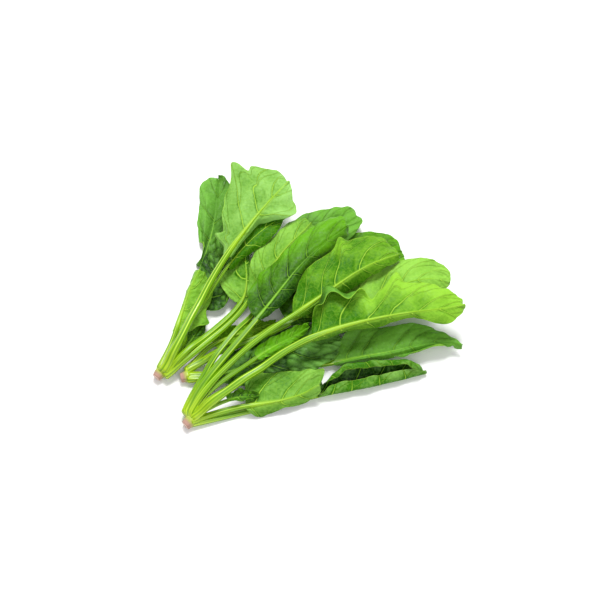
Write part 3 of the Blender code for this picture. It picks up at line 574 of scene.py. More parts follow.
def blade_surface(leaf, laid, number, sizes):
    """Fine middle surface of a blade. Across a row the distance runs from the margin to the midrib and out again.
    The height is the solid's, plus the lift, the relief and the bell at the midrib. Returns the grid, its places in
    mm beside and along the midrib, and what the materials read."""
    rows, side_columns = SMALL_GRID if leaf["name"] in SMALL_LEAVES else LARGE_GRID
    share = np.linspace(0, 1, rows)
    point, strip, base, sweep, tangent, normal = blade_frame(leaf, share)
    at = leaf["petiole"] + leaf["rib"] * share
    out = np.linspace(1, 0, side_columns + 1) ** 0.92
    middle = np.linspace(1, -1, 11)[1:-1]
    q = np.concatenate([out, np.zeros(len(middle)), out[::-1]])
    inner = np.concatenate([np.ones(len(out)), np.abs(middle), np.ones(len(out))])
    sign = np.concatenate([np.ones(len(out)), np.sign(middle), -np.ones(len(out))])
    left = sign > 0
    row = share[:, None]
    corner = np.sqrt(1 - (1 - np.clip(share / 0.05, 0, 1)) ** 2)
    closing = np.sqrt(1 - np.clip((share - 0.93) / 0.07, 0, 1) ** 2)
    distance, height, run = (np.zeros((rows, len(q))) for _ in range(3))
    for side, key in ((1, "left"), (-1, "right")):
        pick = (sign == side) | ((sign == 0) & (side == 1))
        reach = side_reach(leaf, key, share, strip)
        edge = sines(number * 7 + side + 1, at, 0 * at, 15, 6, 5) * sizes.margin_wander
        reach = reach + edge * np.minimum(1, (reach - strip) / 10)
        reach = strip + 0.5 + (reach - strip - 0.5) * corner * closing
        made = half_section(leaf, key, side, share, strip, reach, inner, q)
        distance, height, run = (np.where(pick, new, old) for new, old in zip(made, (distance, height, run)))
    across = distance * np.cos(sweep)[:, None] * sign
    forward = distance * np.sin(sweep)[:, None] + 0.6 * np.maximum(1 - distance / 1.5, 0) * row**12
    x, y = (point[:, k:k + 1] + across * normal[:, k:k + 1] + forward * tangent[:, k:k + 1] for k in (0, 1))
    lift = spread_lift(laid, share, q, left)
    own = line_lift(leaf, laid, at)[:, None]
    lift = lift + (own - lift[:, len(q) // 2][:, None]) * np.exp(-((run / 8) ** 2))
    phase, fork, gap = vein_phases(leaf, number, share, q, left)
    nearest = np.abs(phase - np.round(phase)) * 2
    side_mm = sign * run
    off_strip = run - strip[:, None]
    relief, crinkle_shade = blade_relief(leaf, number, sizes, run, off_strip, side_mm, at[:, None], row, q, nearest)
    stout = STOUT.get(leaf["name"], 1.0)
    saddle = blade_saddle(leaf, run, row, tube_radius(leaf, at)[:, None], rib_radius(leaf, at)[:, None], stout)
    grid = np.stack([x, y, base[:, None] + height + lift + relief + saddle], axis=2)
    low, high, add_left, add_right = LEAF_TONES_AND_SHADE[leaf["name"]]
    # What the margins add is partly the leaf's own colour and partly painted light and shade
    margin = np.where(left, add_left, add_right) * q**1.5
    tone = low + (high - low) * smoothstep(0.15, 0.95, row) + margin * smoothstep(0.0, 0.25, row)
    # Painted light and shade from the form: raised parts of the relief paler, its hollows darker, and the same over
    # the crinkles
    tone = tone + 0.15 * relief + crinkle_shade
    places = np.stack([side_mm, at[:, None] + 0 * run], axis=2).reshape(-1, 2)
    values = {
        "vein_phases": np.stack([phase, fork, q + 0 * run], axis=2).reshape(-1, 3), "tone": tone.ravel(),
        "vein_gap": np.full(run.size, gap), "bloom": np.full(run.size, PAINTED_SHEEN.get(leaf["name"], 0.0)),
        "rib_run": (run + 2.2 * row + 6 * (1 - stout)).ravel()}
    return grid, places, values


def settle(grid, heights, thickness):
    """Lifts a fine blade clear of what is below it, by the shortfall at each point, spread and smoothed."""
    cell = np.clip(np.floor(grid[..., :2]).astype(int) + FINE_CELLS // 2, 1, FINE_CELLS - 2)
    floor = heights[cell[..., 0], cell[..., 1]]
    need = np.maximum(0, floor + FINE_GAP + thickness - grid[..., 2])
    lift = need
    for _ in range(3):
        padded = np.pad(lift, 1, mode="edge")
        for near in (padded[2:, 1:-1], padded[:-2, 1:-1], padded[1:-1, 2:], padded[1:-1, :-2]):
            lift = np.maximum(lift, near)
    lift = np.maximum(blur(blur(lift, 1, 0), 1, 1), need)
    grid[..., 2] += lift
    np.maximum.at(heights, (cell[..., 0], cell[..., 1]), grid[..., 2] + thickness)
    return grid


def fill_holes(heights):
    """A map whose cells take the highest of their four neighbours where they are lower."""
    out = heights.copy()
    for axis in (0, 1):
        for way in (-1, 1):
            out = np.maximum(out, np.roll(heights, way, axis))
    return out


def shell(grid, thickness):
    """Closed blade from its middle surface: each point goes half the thickness along its normal, up and down, and a
    rim joins the two. Returns points, quads and the material of each quad: the shown face and rim 0, the other 1."""
    normal = np.cross(np.gradient(grid, axis=1), np.gradient(grid, axis=0))
    normal /= np.maximum(np.linalg.norm(normal, axis=2, keepdims=True), 1e-9)
    rows, columns = grid.shape[:2]
    index = np.arange(rows * columns).reshape(rows, columns)
    quads = np.stack([index[:-1, :-1], index[:-1, 1:], index[1:, 1:], index[1:, :-1]], axis=-1).reshape(-1, 4)
    count = rows * columns
    edge = np.concatenate([index[0, :-1], index[:-1, -1], index[-1, :0:-1], index[:0:-1, 0]])
    following = np.roll(edge, -1)
    rim = np.stack([edge, edge + count, following + count, following], axis=1)
    points = np.concatenate([grid + normal * thickness, grid - normal * thickness]).reshape(-1, 3)
    material = np.concatenate([np.zeros(len(quads)), np.ones(len(quads)), np.zeros(len(rim))])
    return points, np.concatenate([quads, quads[:, ::-1] + count, rim]), material


def make_piece(name, node, slot_name, points, quads, uv, attributes, materials, material_index=None):
    """Mesh object in metres from points in mm and four-cornered faces, which stands for a solid of the frame."""
    mesh = bpy.data.meshes.new(name)
    place = (np.asarray(points) + np.asarray(SHIFT)) * METRE
    if material_index is None:
        material_index = np.zeros(len(quads))
    mesh.vertices.add(len(place))
    mesh.vertices.foreach_set("co", place.astype(np.float32).ravel())
    mesh.loops.add(quads.size)
    mesh.loops.foreach_set("vertex_index", quads.astype(np.int32).ravel())
    mesh.polygons.add(len(quads))
    mesh.polygons.foreach_set("loop_start", np.arange(0, quads.size, 4, dtype=np.int32))
    mesh.polygons.foreach_set("material_index", np.asarray(material_index, np.int32))
    mesh.update(calc_edges=True)
    mesh.polygons.foreach_set("use_smooth", np.ones(len(quads), bool))
    mesh.uv_layers.new(name="surface").data.foreach_set("uv", uv.astype(np.float32).ravel())
    for key, values in attributes.items():
        kind, field = ("FLOAT", "value") if values.ndim == 1 else ("FLOAT_VECTOR", "vector")
        attribute = mesh.attributes.new(name=key, type=kind, domain="POINT")
        attribute.data.foreach_set(field, values.astype(np.float32).ravel())
    for material in materials:
        mesh.materials.append(material)
    item = bpy.data.objects.new(name, mesh)
    bpy.context.scene.collection.objects.link(item)
    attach(item, "root")
    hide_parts(node)


class Nodes:
    """Shorthand for a node tree: each call makes a node, sets or links its inputs and returns an output."""

    def __init__(self, tree):
        self.tree = tree

    def put(self, socket, value):
        """Link the value if it is a socket, otherwise set it."""
        if isinstance(value, bpy.types.NodeSocket):
            self.tree.links.new(value, socket)
        else:
            socket.default_value = value

    def make(self, kind, inputs=(), output=0, **settings):
        """A node of a kind with its settings and inputs by name or number."""
        node = self.tree.nodes.new(kind)
        for key, value in settings.items():
            setattr(node, key, value)
        for key, value in dict(inputs).items():
            self.put(node.inputs[key], value)
        return node.outputs[output]

    def math(self, operation, first, second=0.0, third=0.0, clamp=False):
        """A sum on numbers."""
        return self.make("ShaderNodeMath", {0: first, 1: second, 2: third}, operation=operation, use_clamp=clamp)

    def ramp(self, value, low, high, start=0.0, end=1.0):
        """Smooth step of a value from one range to another."""
        inputs = {"Value": value, "From Min": low, "From Max": high, "To Min": start, "To Max": end}
        return self.make("ShaderNodeMapRange", inputs, interpolation_type="SMOOTHSTEP")

    def blend(self, factor, first, second, mode="MIX"):
        """Mix of two colours."""
        node = self.tree.nodes.new("ShaderNodeMix")
        node.data_type = "RGBA"
        node.blend_type = mode
        node.clamp_factor = True
        self.put(node.inputs[0], factor)
        self.put(node.inputs[6], first)
        self.put(node.inputs[7], second)
        return node.outputs[2]

    def layers(self, colour, *over):
        """A colour with others laid over it, each by its own factor."""
        for factor, on_top in over:
            colour = self.blend(factor, colour, rgba(on_top))
        return colour

    def attribute(self, name, output="Fac"):
        """What a mesh holds under a name: a number, or a vector."""
        return self.make("ShaderNodeAttribute", output=output, attribute_name=name)

    def split(self, vector):
        """The three parts of a vector."""
        node = self.tree.nodes.new("ShaderNodeSeparateXYZ")
        self.put(node.inputs[0], vector)
        return list(node.outputs)

    def group(self, tree, inputs, output=0):
        """A shared group placed here with its own values."""
        node = self.tree.nodes.new("ShaderNodeGroup")
        node.node_tree = tree
        for key, value in inputs.items():
            self.put(node.inputs[key], value)
        return node.outputs[output]


def new_group(name, inputs, outputs):
    """Empty shader group with named sockets. Returns its tree, its builder, what it is given and what it gives."""
    tree = bpy.data.node_groups.new(name, "ShaderNodeTree")
    for key, kind in inputs.items():
        tree.interface.new_socket(name=key, in_out="INPUT", socket_type=kind)
    for key, kind in outputs.items():
        tree.interface.new_socket(name=key, in_out="OUTPUT", socket_type=kind)
    entry = tree.nodes.new("NodeGroupInput")
    leave = tree.nodes.new("NodeGroupOutput")
    return tree, Nodes(tree), entry.outputs, leave.inputs


def vein_group():
    """Side veins: how near a point is to a whole phase, in mm against a width that shrinks to the margin, and a
    wider band beside each vein for the painted shade along it.
    """
    found = bpy.data.node_groups.get("Side veins")
    if found:
        return found
    number = "NodeSocketFloat"
    tree, n, given, result = new_group(
        "Side veins", {"Phases": "NodeSocketVector", "Gap": number, "Width": number, "Wobble": number},
        {"Veins": number, "Beside": number})
    first, second, q = n.split(given["Phases"])
    width = n.math("MULTIPLY", given["Width"], n.ramp(q, 0.0, 1.0, 1.0, 0.4))
    masks = []
    sides = []
    for source, strength in ((first, 1.0), (second, n.ramp(q, 0.46, 0.52, 0.0, 0.8))):
        phase = n.math("ADD", source, given["Wobble"])
        away = n.math("ABSOLUTE", n.math("SUBTRACT", phase, n.math("ROUND", phase)))
        away = n.math("MULTIPLY", away, given["Gap"])
        share = n.math("DIVIDE", away, width)
        line = n.ramp(share, 0.35, 1.6, 1.0, 0.0)
        masks.append(n.math("MULTIPLY", line, strength))
        # Painted shade beside the vein, over a wider band
        sides.append(n.math("MULTIPLY", n.ramp(share, 1.0, 7.0, 1.0, 0.0), strength))
    n.put(result["Veins"], n.math("MAXIMUM", masks[0], masks[1]))
    n.put(result["Beside"], n.math("MAXIMUM", sides[0], sides[1]))
    return tree


def net_group():
    """Fine net between the veins: edges of two sizes of cells in the leaf's own plane, in mm."""
    found = bpy.data.node_groups.get("Vein net")
    if found:
        return found
    tree, n, given, result = new_group("Vein net", {"Place": "NodeSocketVector"}, {"Net": "NodeSocketFloat"})
    lines = []
    for scale, reach, strength in ((0.16, 0.09, 0.75), (0.42, 0.12, 0.4)):
        noise = n.make("ShaderNodeTexNoise", {"Vector": given["Place"], "Scale": 0.25, "Detail": 2.0}, output=1)
        shifted = n.make("ShaderNodeMixRGB", {0: 1.0, 1: given["Place"], 2: noise}, blend_type="ADD")
        cells = n.make("ShaderNodeTexVoronoi", {"Vector": shifted, "Scale": scale}, voronoi_dimensions="2D",
                       feature="DISTANCE_TO_EDGE")
        lines.append(n.math("MULTIPLY", n.ramp(cells, 0.0, reach, 1.0, 0.0), strength))
    n.put(result["Net"], n.math("MAXIMUM", lines[0], lines[1]))
    return tree


def mottle_group():
    """Uneven tone: broad and fine noise in the part's own space, from -1 to 1."""
    found = bpy.data.node_groups.get("Mottle")
    if found:
        return found
    number = "NodeSocketFloat"
    tree, n, given, result = new_group("Mottle", {"Scale": number}, {"Broad": number, "Fine": number})
    place = n.make("ShaderNodeTexCoord", output="Object")
    for key, factor, detail in (("Broad", 1.0, 2.0), ("Fine", 7.0, 3.0)):
        scale = n.math("MULTIPLY", given["Scale"], factor)
        noise = n.make("ShaderNodeTexNoise", {"Vector": place, "Scale": scale, "Detail": detail})
        n.put(result[key], n.math("MULTIPLY_ADD", noise, 3.0, -1.5))
    return tree


def fibre_group():
    """Lengthwise strands of a stem: noise stretched along it, from 0 to 1."""
    found = bpy.data.node_groups.get("Fibres")
    if found:
        return found
    number = "NodeSocketFloat"
    tree, n, given, result = new_group(
        "Fibres", {"Around": number, "Along": number}, {"Coarse": number, "Fine": number})
    turn = n.math("MULTIPLY", given["Around"], 2 * math.pi)
    for key, across, along in (("Coarse", 1.6, 0.010), ("Fine", 4.5, 0.03)):
        place = n.make("ShaderNodeCombineXYZ", {
            0: n.math("MULTIPLY", n.math("COSINE", turn), across),
            1: n.math("MULTIPLY", n.math("SINE", turn), across),
            2: n.math("MULTIPLY", given["Along"], along)})
        noise = n.make("ShaderNodeTexNoise", {"Vector": place, "Scale": 1.0, "Detail": 1.0})
        n.put(result[key], n.ramp(noise, 0.3, 0.7))
    return tree


def new_material(name):
    """Material with a Principled shader and its builder."""
    made = bpy.data.materials.new(name)
    made.use_nodes = True
    return made, Nodes(made.node_tree), made.node_tree.nodes["Principled BSDF"]


def rgba(colour):
    return (*colour, 1.0)


# Looks of the two faces of a blade: width of the side veins (mm), painted shade beside them, and strengths of the
# mottle, the net and the veins. rib is where the light strip at the midrib begins and ends (mm) and its strength,
# and way is whether the veins stand up (1) or are sunk (-1)
UNDER_LOOK = {"vein_width": 0.50, "vein_shade": 0.34, "mottle": 0.26, "net": 0.16, "veins": 0.7, "rib": (1.2, 4.5, 0.4),
              "roughness": 0.42, "way": 1.0, "specular": 0.09}
UPPER_LOOK = {"vein_width": 0.42, "vein_shade": 0.26, "mottle": 0.26, "net": 0.14, "veins": 0.6, "rib": (0.6, 1.9, 0.9),
              "roughness": 0.40, "way": -1.0, "specular": 0.16}


def blade_material(name, deep, pale, vein, bloom, look):
    """Blade face: deep to pale by the leaf's tone with its painted shade, painted shade beside the veins, a painted
    bluish sheen, paler veins and net, a light strip at the midrib, a painted highlight along the margin and fine
    bumps."""
    found = bpy.data.materials.get(name)
    if found:
        return found
    made, n, shader = new_material(name)
    phases = n.attribute("vein_phases", "Vector")
    tone, gap, rib, sheen_share = (n.attribute(key) for key in ("tone", "vein_gap", "rib_run", "bloom"))
    place = n.make("ShaderNodeUVMap", uv_map="surface")
    mottle = n.group(mottle_group(), {"Scale": 38.0})
    fine = n.group(mottle_group(), {"Scale": 60.0}, "Fine")
    wobble = n.math("MULTIPLY", mottle, 0.08)
    vein_inputs = {"Phases": phases, "Gap": gap, "Width": look["vein_width"], "Wobble": wobble}
    veins = n.group(vein_group(), vein_inputs)
    vein_shade = n.group(vein_group(), vein_inputs, "Beside")
    net = n.group(net_group(), {"Place": place})
    level = n.math("ADD", tone, n.math("MULTIPLY", mottle, look["mottle"]), clamp=True)
    level = n.math("ADD", level, n.math("MULTIPLY", fine, look["mottle"] * 0.8))
    # Painted shade beside the veins
    level = n.math("SUBTRACT", level, n.math("MULTIPLY", vein_shade, look["vein_shade"]), clamp=True)
    colour = n.layers(
        rgba(deep), (level, pale),
        # Painted bluish sheen, more on the paler parts
        (n.math("MULTIPLY", n.math("MULTIPLY", sheen_share, 0.65), level), bloom),
        (n.math("MULTIPLY", net, look["net"]), vein),
        (n.math("MULTIPLY", veins, look["veins"]), vein),
        (n.ramp(rib, *look["rib"], 0.0), vein),
        # Painted highlight along the margin
        (n.ramp(n.split(phases)[2], 0.975, 1.0, 0.0, 0.4), vein))
    n.put(shader.inputs["Base Color"], colour)
    rough = n.math("MULTIPLY_ADD", fine, 0.05, look["roughness"])
    n.put(shader.inputs["Roughness"], n.math("ADD", rough, n.math("MULTIPLY", net, 0.06), clamp=True))
    way = look["way"]
    height = n.math("MULTIPLY", veins, 0.40 * way)
    height = n.math("ADD", height, n.math("MULTIPLY", net, 0.20 * way))
    height = n.math("ADD", height, n.math("MULTIPLY", fine, 0.10))
    bump = n.make("ShaderNodeBump", {"Height": height, "Distance": 0.001, "Strength": 1.0})
    n.put(shader.inputs["Normal"], bump)
    shader.inputs["Specular IOR Level"].default_value = look["specular"]
    return made


def stem_material(colours):
    """Petioles and midribs: pale at the crown, yellow-green along the stem, paler in the blade, with strands,
    painted highlights on the ridges and painted shade between them and in the groove.
    """
    found = bpy.data.materials.get("petiole_skin")
    if found:
        return found
    made, n, shader = new_material("petiole_skin")
    around, along, _ = n.split(n.make("ShaderNodeUVMap", uv_map="surface"))
    rib, groove, ridge = (n.attribute(key) for key in ("rib_share", "groove", "ridge"))
    fibres = n.group(fibre_group(), {"Around": around, "Along": along}, "Coarse")
    fine = n.group(fibre_group(), {"Around": around, "Along": along}, "Fine")
    mottle = n.group(mottle_group(), {"Scale": 45.0})
    # Painted highlight on the ridges, broken up by the strands
    ridge_highlight = n.math("MULTIPLY", n.ramp(ridge, 0.1, 0.95), n.ramp(fibres, 0.25, 0.75))
    colour = n.layers(
        rgba(colours.stem_green),
        (n.ramp(along, -6.0, 34.0, 1.0, 0.0), colours.stem_pale),
        (n.math("MULTIPLY", ridge_highlight, 0.9), colours.stem_strand_highlight),
        # Painted shade between the ridges
        (n.math("MULTIPLY", n.ramp(ridge, 0.1, -0.9), 0.8), colours.stem_dark_strands_and_shade),
        (n.math("MULTIPLY", n.ramp(fine, 0.45, 1.0), 0.25), colours.stem_dark_strands_and_shade),
        # Painted shade in the groove
        (n.math("MULTIPLY", groove, 0.75), colours.stem_dark_strands_and_shade),
        (n.ramp(rib, 0.0, 0.12, 0.0, 0.6), colours.midrib),
        (n.ramp(rib, 0.25, 0.95, 0.0, 0.75), colours.under_pale),
        (n.ramp(along, -8.0, -2.0, 0.65, 0.0), colours.crown_pink),
        (n.math("MULTIPLY", mottle, 0.10, clamp=True), colours.stem_pale))
    n.put(shader.inputs["Base Color"], colour)
    n.put(shader.inputs["Roughness"], n.math("MULTIPLY_ADD", fine, 0.10, 0.30))
    height = n.math("ADD", n.math("MULTIPLY", fibres, 0.12), n.math("MULTIPLY", fine, 0.05))
    n.put(shader.inputs["Normal"], n.make("ShaderNodeBump", {"Height": height, "Distance": 0.001}))
    shader.inputs["Specular IOR Level"].default_value = 0.4
    return made


def crown_material(colours):
    """Cut crown: pink flesh with rings round a pale heart, browner at the rim and down the side."""
    found = bpy.data.materials.get("crown_flesh")
    if found:
        return found
    made, n, shader = new_material("crown_flesh")
    out, down = n.attribute("from_heart"), n.attribute("down_side")
    mottle = n.group(mottle_group(), {"Scale": 260.0})
    fine = n.group(mottle_group(), {"Scale": 400.0}, "Fine")
    wave = n.math("SINE", n.math("MULTIPLY", n.math("MULTIPLY_ADD", mottle, 0.05, out), 24.0))
    colour = n.layers(
        rgba(colours.crown_pink),
        (n.math("MULTIPLY_ADD", wave, 0.22, 0.3), colours.crown_heart),
        (n.ramp(out, 0.75, 1.0, 0.0, 0.6), colours.crown_rim),
        (n.ramp(down, 0.35, 1.0, 0.0, 0.6), colours.stem_pale),
        (n.math("MULTIPLY", fine, 0.12, clamp=True), colours.crown_rim))
    n.put(shader.inputs["Base Color"], colour)
    n.put(shader.inputs["Roughness"], n.math("MULTIPLY_ADD", fine, 0.08, 0.5))
    height = n.math("ADD", n.math("MULTIPLY", wave, 0.08), n.math("MULTIPLY", fine, 0.06))
    n.put(shader.inputs["Normal"], n.make("ShaderNodeBump", {"Height": height, "Distance": 0.001}))
    return made


def lay_all():
    """Lay of every leaf, lowest first, as the solids were laid."""
    maps = {key: np.full((CELLS, CELLS), -99.0) for key in ("blades", "a", "b", "c")}
    return {leaf["name"]: lay_leaf(leaf, maps) for leaf in LEAVES}


def closed_tube(rings, sides):
    """Quads of a tube with both ends gathered to a point: the first and last ring are points repeated."""
    i, j = np.indices((rings - 1, sides)).reshape(2, -1)
    a = i * sides + j
    b = i * sides + (j + 1) % sides
    return np.stack([a, b, b + sides, a + sides], axis=1)


def tube_uv(rings, sides, along):
    """Corners of a tube's quads in its own measure: turns round it and mm along it."""
    i, j = np.indices((rings - 1, sides)).reshape(2, -1)
    u = np.stack([j, j + 1, j + 1, j], axis=1) / sides
    v = np.stack([along[i], along[i], along[i + 1], along[i + 1]], axis=1)
    return np.stack([u, v], axis=2)


def crown_axes(plant):
    """Way along a crown's axis, way across it on the level, and its middle."""
    heading = math.radians(PLANTS[plant]["heading"])
    direction = np.array([math.cos(heading), math.sin(heading), 0])
    return direction, np.array([-direction[1], direction[0], 0]), np.array(PLANTS[plant]["centre"], float)


def rings_round(plant, along, ring, tilt):
    """Points of rings round a crown's axis: each ring's distance along it, radii round it, and how far it is tilted
    along the axis. They are kept over the floor."""
    direction, side, centre = crown_axes(plant)
    middle = centre + along[:, None] * direction
    way = np.cos(CROWN_TURN)[:, None] * side + np.sin(CROWN_TURN)[:, None] * np.array([0, 0, 1.0])
    points = middle[:, None, :] + tilt[..., None] * direction
    points = points + ring[..., None] * way
    points[..., 2] = np.maximum(points[..., 2], FLOOR_GAP)
    return points.reshape(-1, 3)


def lead_to_crown(leaf, first, heading, radius):
    """Rings that lead a stem back to its crown, on a cubic Hermite curve with a point and a way at each end. Returns
    their places, radii, headings and distances before the stem's start."""
    shape = PLANTS[leaf["plant"]]
    direction, _, centre = crown_axes(leaf["plant"])
    apart = first - centre
    root = centre + direction * (shape["half"] - 0.9) + (apart - direction * (apart @ direction)) * 0.30
    reach = np.linalg.norm(first - root)
    t = np.linspace(0, 1, max(5, int(reach / 1.2)) + 1)[:-1]
    ahead = np.array([math.cos(heading), math.sin(heading), 0]) * reach
    place = ((2 * t**3 - 3 * t**2 + 1)[:, None] * root + (t**3 - 2 * t**2 + t)[:, None] * (direction * reach)
             + (3 * t**2 - 2 * t**3)[:, None] * first + (t**3 - t**2)[:, None] * ahead)
    narrow = 0.62 * radius + 0.38 * radius * smoothstep(0, 1, t)
    angle = math.radians(shape["heading"])
    return place, narrow, angle + (heading - angle) * smoothstep(0, 1, t), -reach * (1 - t)


def petiole_surface(leaf, laid, number, sizes):
    """Fine stem: rings round the line at each distance, led back to the crown by a curve. The radius is the stem's,
    times one plus ridges round it, less a groove on the leaf's upper side, and both ends are drawn in to a point."""
    sides = STEM_SIDES
    total = leaf["petiole"] + leaf["rib"] * 0.96
    at = np.linspace(0, total, int(total / 1.8))
    point, heading = line_at(leaf, at)
    lift = line_lift(leaf, laid, at)
    rib = np.clip((at - leaf["petiole"]) / leaf["rib"], 0, 1)
    face = 1 if leaf["face"] == "upper" else -1
    radius = rib_radius(leaf, at) * (1 + sines(number * 23 + 1, at, 0 * at, 60, 22, 4) * 0.05)
    stout = STOUT.get(leaf["name"], 1.0)
    full = tube_radius(leaf, at) + RIB_GAP + BLADE_THICKNESS / 2
    sink = RIB_RISE * (1 - stout) * full * smoothstep(0, 0.15, rib) + 0.35 * smoothstep(0.6, 1, rib)
    place = point + np.stack([0 * at, 0 * at, lift - sink * (face == -1)], axis=1)
    lead = lead_to_crown(leaf, place[0], heading[0], radius[0])
    place, radius, heading, along = (np.concatenate(pair) for pair in zip(lead, (place, radius, heading, at)))
    rib = np.concatenate([np.zeros(len(lead[1])), rib])
    turn = 2 * math.pi * np.arange(sides) / sides
    away = np.angle(np.exp(1j * (turn - face * math.pi / 2)))
    deep = sizes.groove * smoothstep(-2, 14, along) * (1 - smoothstep(0.0, 0.5, rib))
    groove = np.exp(-((away / 0.45) ** 2))[None, :] * deep[:, None]
    drift = 0.5 * np.sin(along / 31 + number)[:, None]
    ridge = np.cos(8 * turn[None, :] + number + drift) * 0.7 + 0.3 * np.cos(5 * turn + 2 * number)[None, :]
    ring = radius[:, None] * (1 - groove + sizes.ridges * ridge * (1 - 0.6 * smoothstep(0.0, 0.5, rib))[:, None])
    ends = np.ones(len(along))
    ends[[0, -1]] = 0.02
    ends[-2] = 0.75
    ring = ring * ends[:, None]
    across = ring * np.cos(turn)
    x = place[:, :1] - np.sin(heading)[:, None] * across
    y = place[:, 1:2] + np.cos(heading)[:, None] * across
    z = np.maximum(place[:, 2:] + ring * np.sin(turn) * STEM_FLATNESS, FLOOR_GAP)
    values = {"rib_share": np.repeat(rib, sides), "groove": (groove / max(sizes.groove, 0.01)).ravel(),
              "ridge": ridge.ravel()}
    points = np.stack([x, y, z], axis=2).reshape(-1, 3)
    return points, closed_tube(len(along), sides), tube_uv(len(along), sides, along), values


def collar_surface(plant):
    """Sheath where the stems gather: rings round the crown's axis that grow along it, fluted by the stems."""
    shape = PLANTS[plant]
    rings = 16
    share = np.linspace(0, 1, rings)
    along = shape["half"] - 1.0 + share * (0.7 * shape["collar_length"])
    radius = shape["radii"][1] * (0.80 + 0.25 * share) * np.sqrt(1 - np.clip((share - 0.3) / 0.7, 0, 1) ** 2)
    radius = np.maximum(radius, 0.02)
    radius[0] = 0.02
    flute = 1 + 0.07 * np.cos(6 * CROWN_TURN + 0.6)[None, :] + 0.03 * np.cos(13 * CROWN_TURN)[None, :]
    points = rings_round(plant, along, radius[:, None] * flute, np.zeros((rings, 1)))
    flat = np.zeros(rings * CROWN_SIDES)
    values = {"rib_share": flat, "groove": flat, "ridge": np.tile(flute.ravel(), rings) * 4 - 4}
    uv = tube_uv(rings, CROWN_SIDES, along - shape["half"] - 5)
    return points, closed_tube(rings, CROWN_SIDES), uv, values


def crown_surface(plant):
    """Cut crown: a slightly domed face, a rounded rim and a side that widens to the stems, wavy round its axis."""
    shape = PLANTS[plant]
    profile = np.array(CROWN_PROFILE)
    along = profile[:, 0] - shape["half"]
    wavy = 1 + 0.035 * np.cos(5 * CROWN_TURN + 0.8) + 0.02 * np.cos(9 * CROWN_TURN + ord(plant))
    ring = (profile[:, 1] * shape["radii"][0])[:, None] * wavy[None, :]
    near = np.clip(1 - (along[:, None] + shape["half"]) / 2.5, 0, 1)
    tilt = 0.35 * np.cos(CROWN_TURN + 0.9)[None, :] * near * profile[:, 1:2]
    points = rings_round(plant, along, ring, tilt)
    values = {"from_heart": np.repeat(np.clip(profile[:, 1], 0, 1), CROWN_SIDES),
              "down_side": np.repeat(np.clip(profile[:, 0] / 4.8, 0, 1), CROWN_SIDES)}
    uv = tube_uv(len(profile), CROWN_SIDES, along)
    return points, closed_tube(len(profile), CROWN_SIDES), uv, values


def join_surfaces(parts):
    """One surface from several: points, quads with the corner numbers moved on, their places and their values."""
    points, quads, places, values = zip(*parts)
    offset = np.cumsum([0] + [len(one) for one in points])
    quads = np.concatenate([one + first for one, first in zip(quads, offset)])
    joined = {key: np.concatenate([one[key] for one in values]) for key in values[0]}
    return np.concatenate(points), quads, np.concatenate(places), joined


# Number of channels of a colour, and their limits
CHANNELS = {"size": 3, "min": 0, "max": 1}


class SpinachSizes(PropertyGroup):
    """Fine sizes of the leaves and stems, in mm."""

    half_thickness: FloatProperty(
        name="Half thickness", description="Half of a blade's thickness, in mm", default=0.2, min=0.1, max=0.4)
    quilting: FloatProperty(
        name="Quilting", description="Height of the bulges between side veins, in mm",
        default=1.8, min=0, max=2)
    undulation: FloatProperty(
        name="Undulation", description="Height of the broad waves of a blade, in mm", default=1.1, min=0, max=2)
    blister: FloatProperty(
        name="Blister", description="Height of the pillows of a blade, in mm", default=0.3, min=0, max=1)
    pucker: FloatProperty(
        name="Pucker", description="Height of the short wrinkles beside the midrib, in mm",
        default=0.35, min=0, max=1)
    margin_ripple: FloatProperty(
        name="Margin ripple", description="Height of the ripples at the margin, in mm",
        default=0.6, min=0, max=2)
    margin_wander: FloatProperty(
        name="Margin wander", description="How far the margin strays from its curve, in mm",
        default=0.45, min=0, max=2)
    ridges: FloatProperty(
        name="Ridges", description="Height of a stem's ridges as a share of its radius",
        default=0.05, min=0, max=0.2, subtype="FACTOR")
    groove: FloatProperty(
        name="Groove", description="Depth of the stem's groove as a share of its radius",
        default=0.22, min=0, max=0.5, subtype="FACTOR")


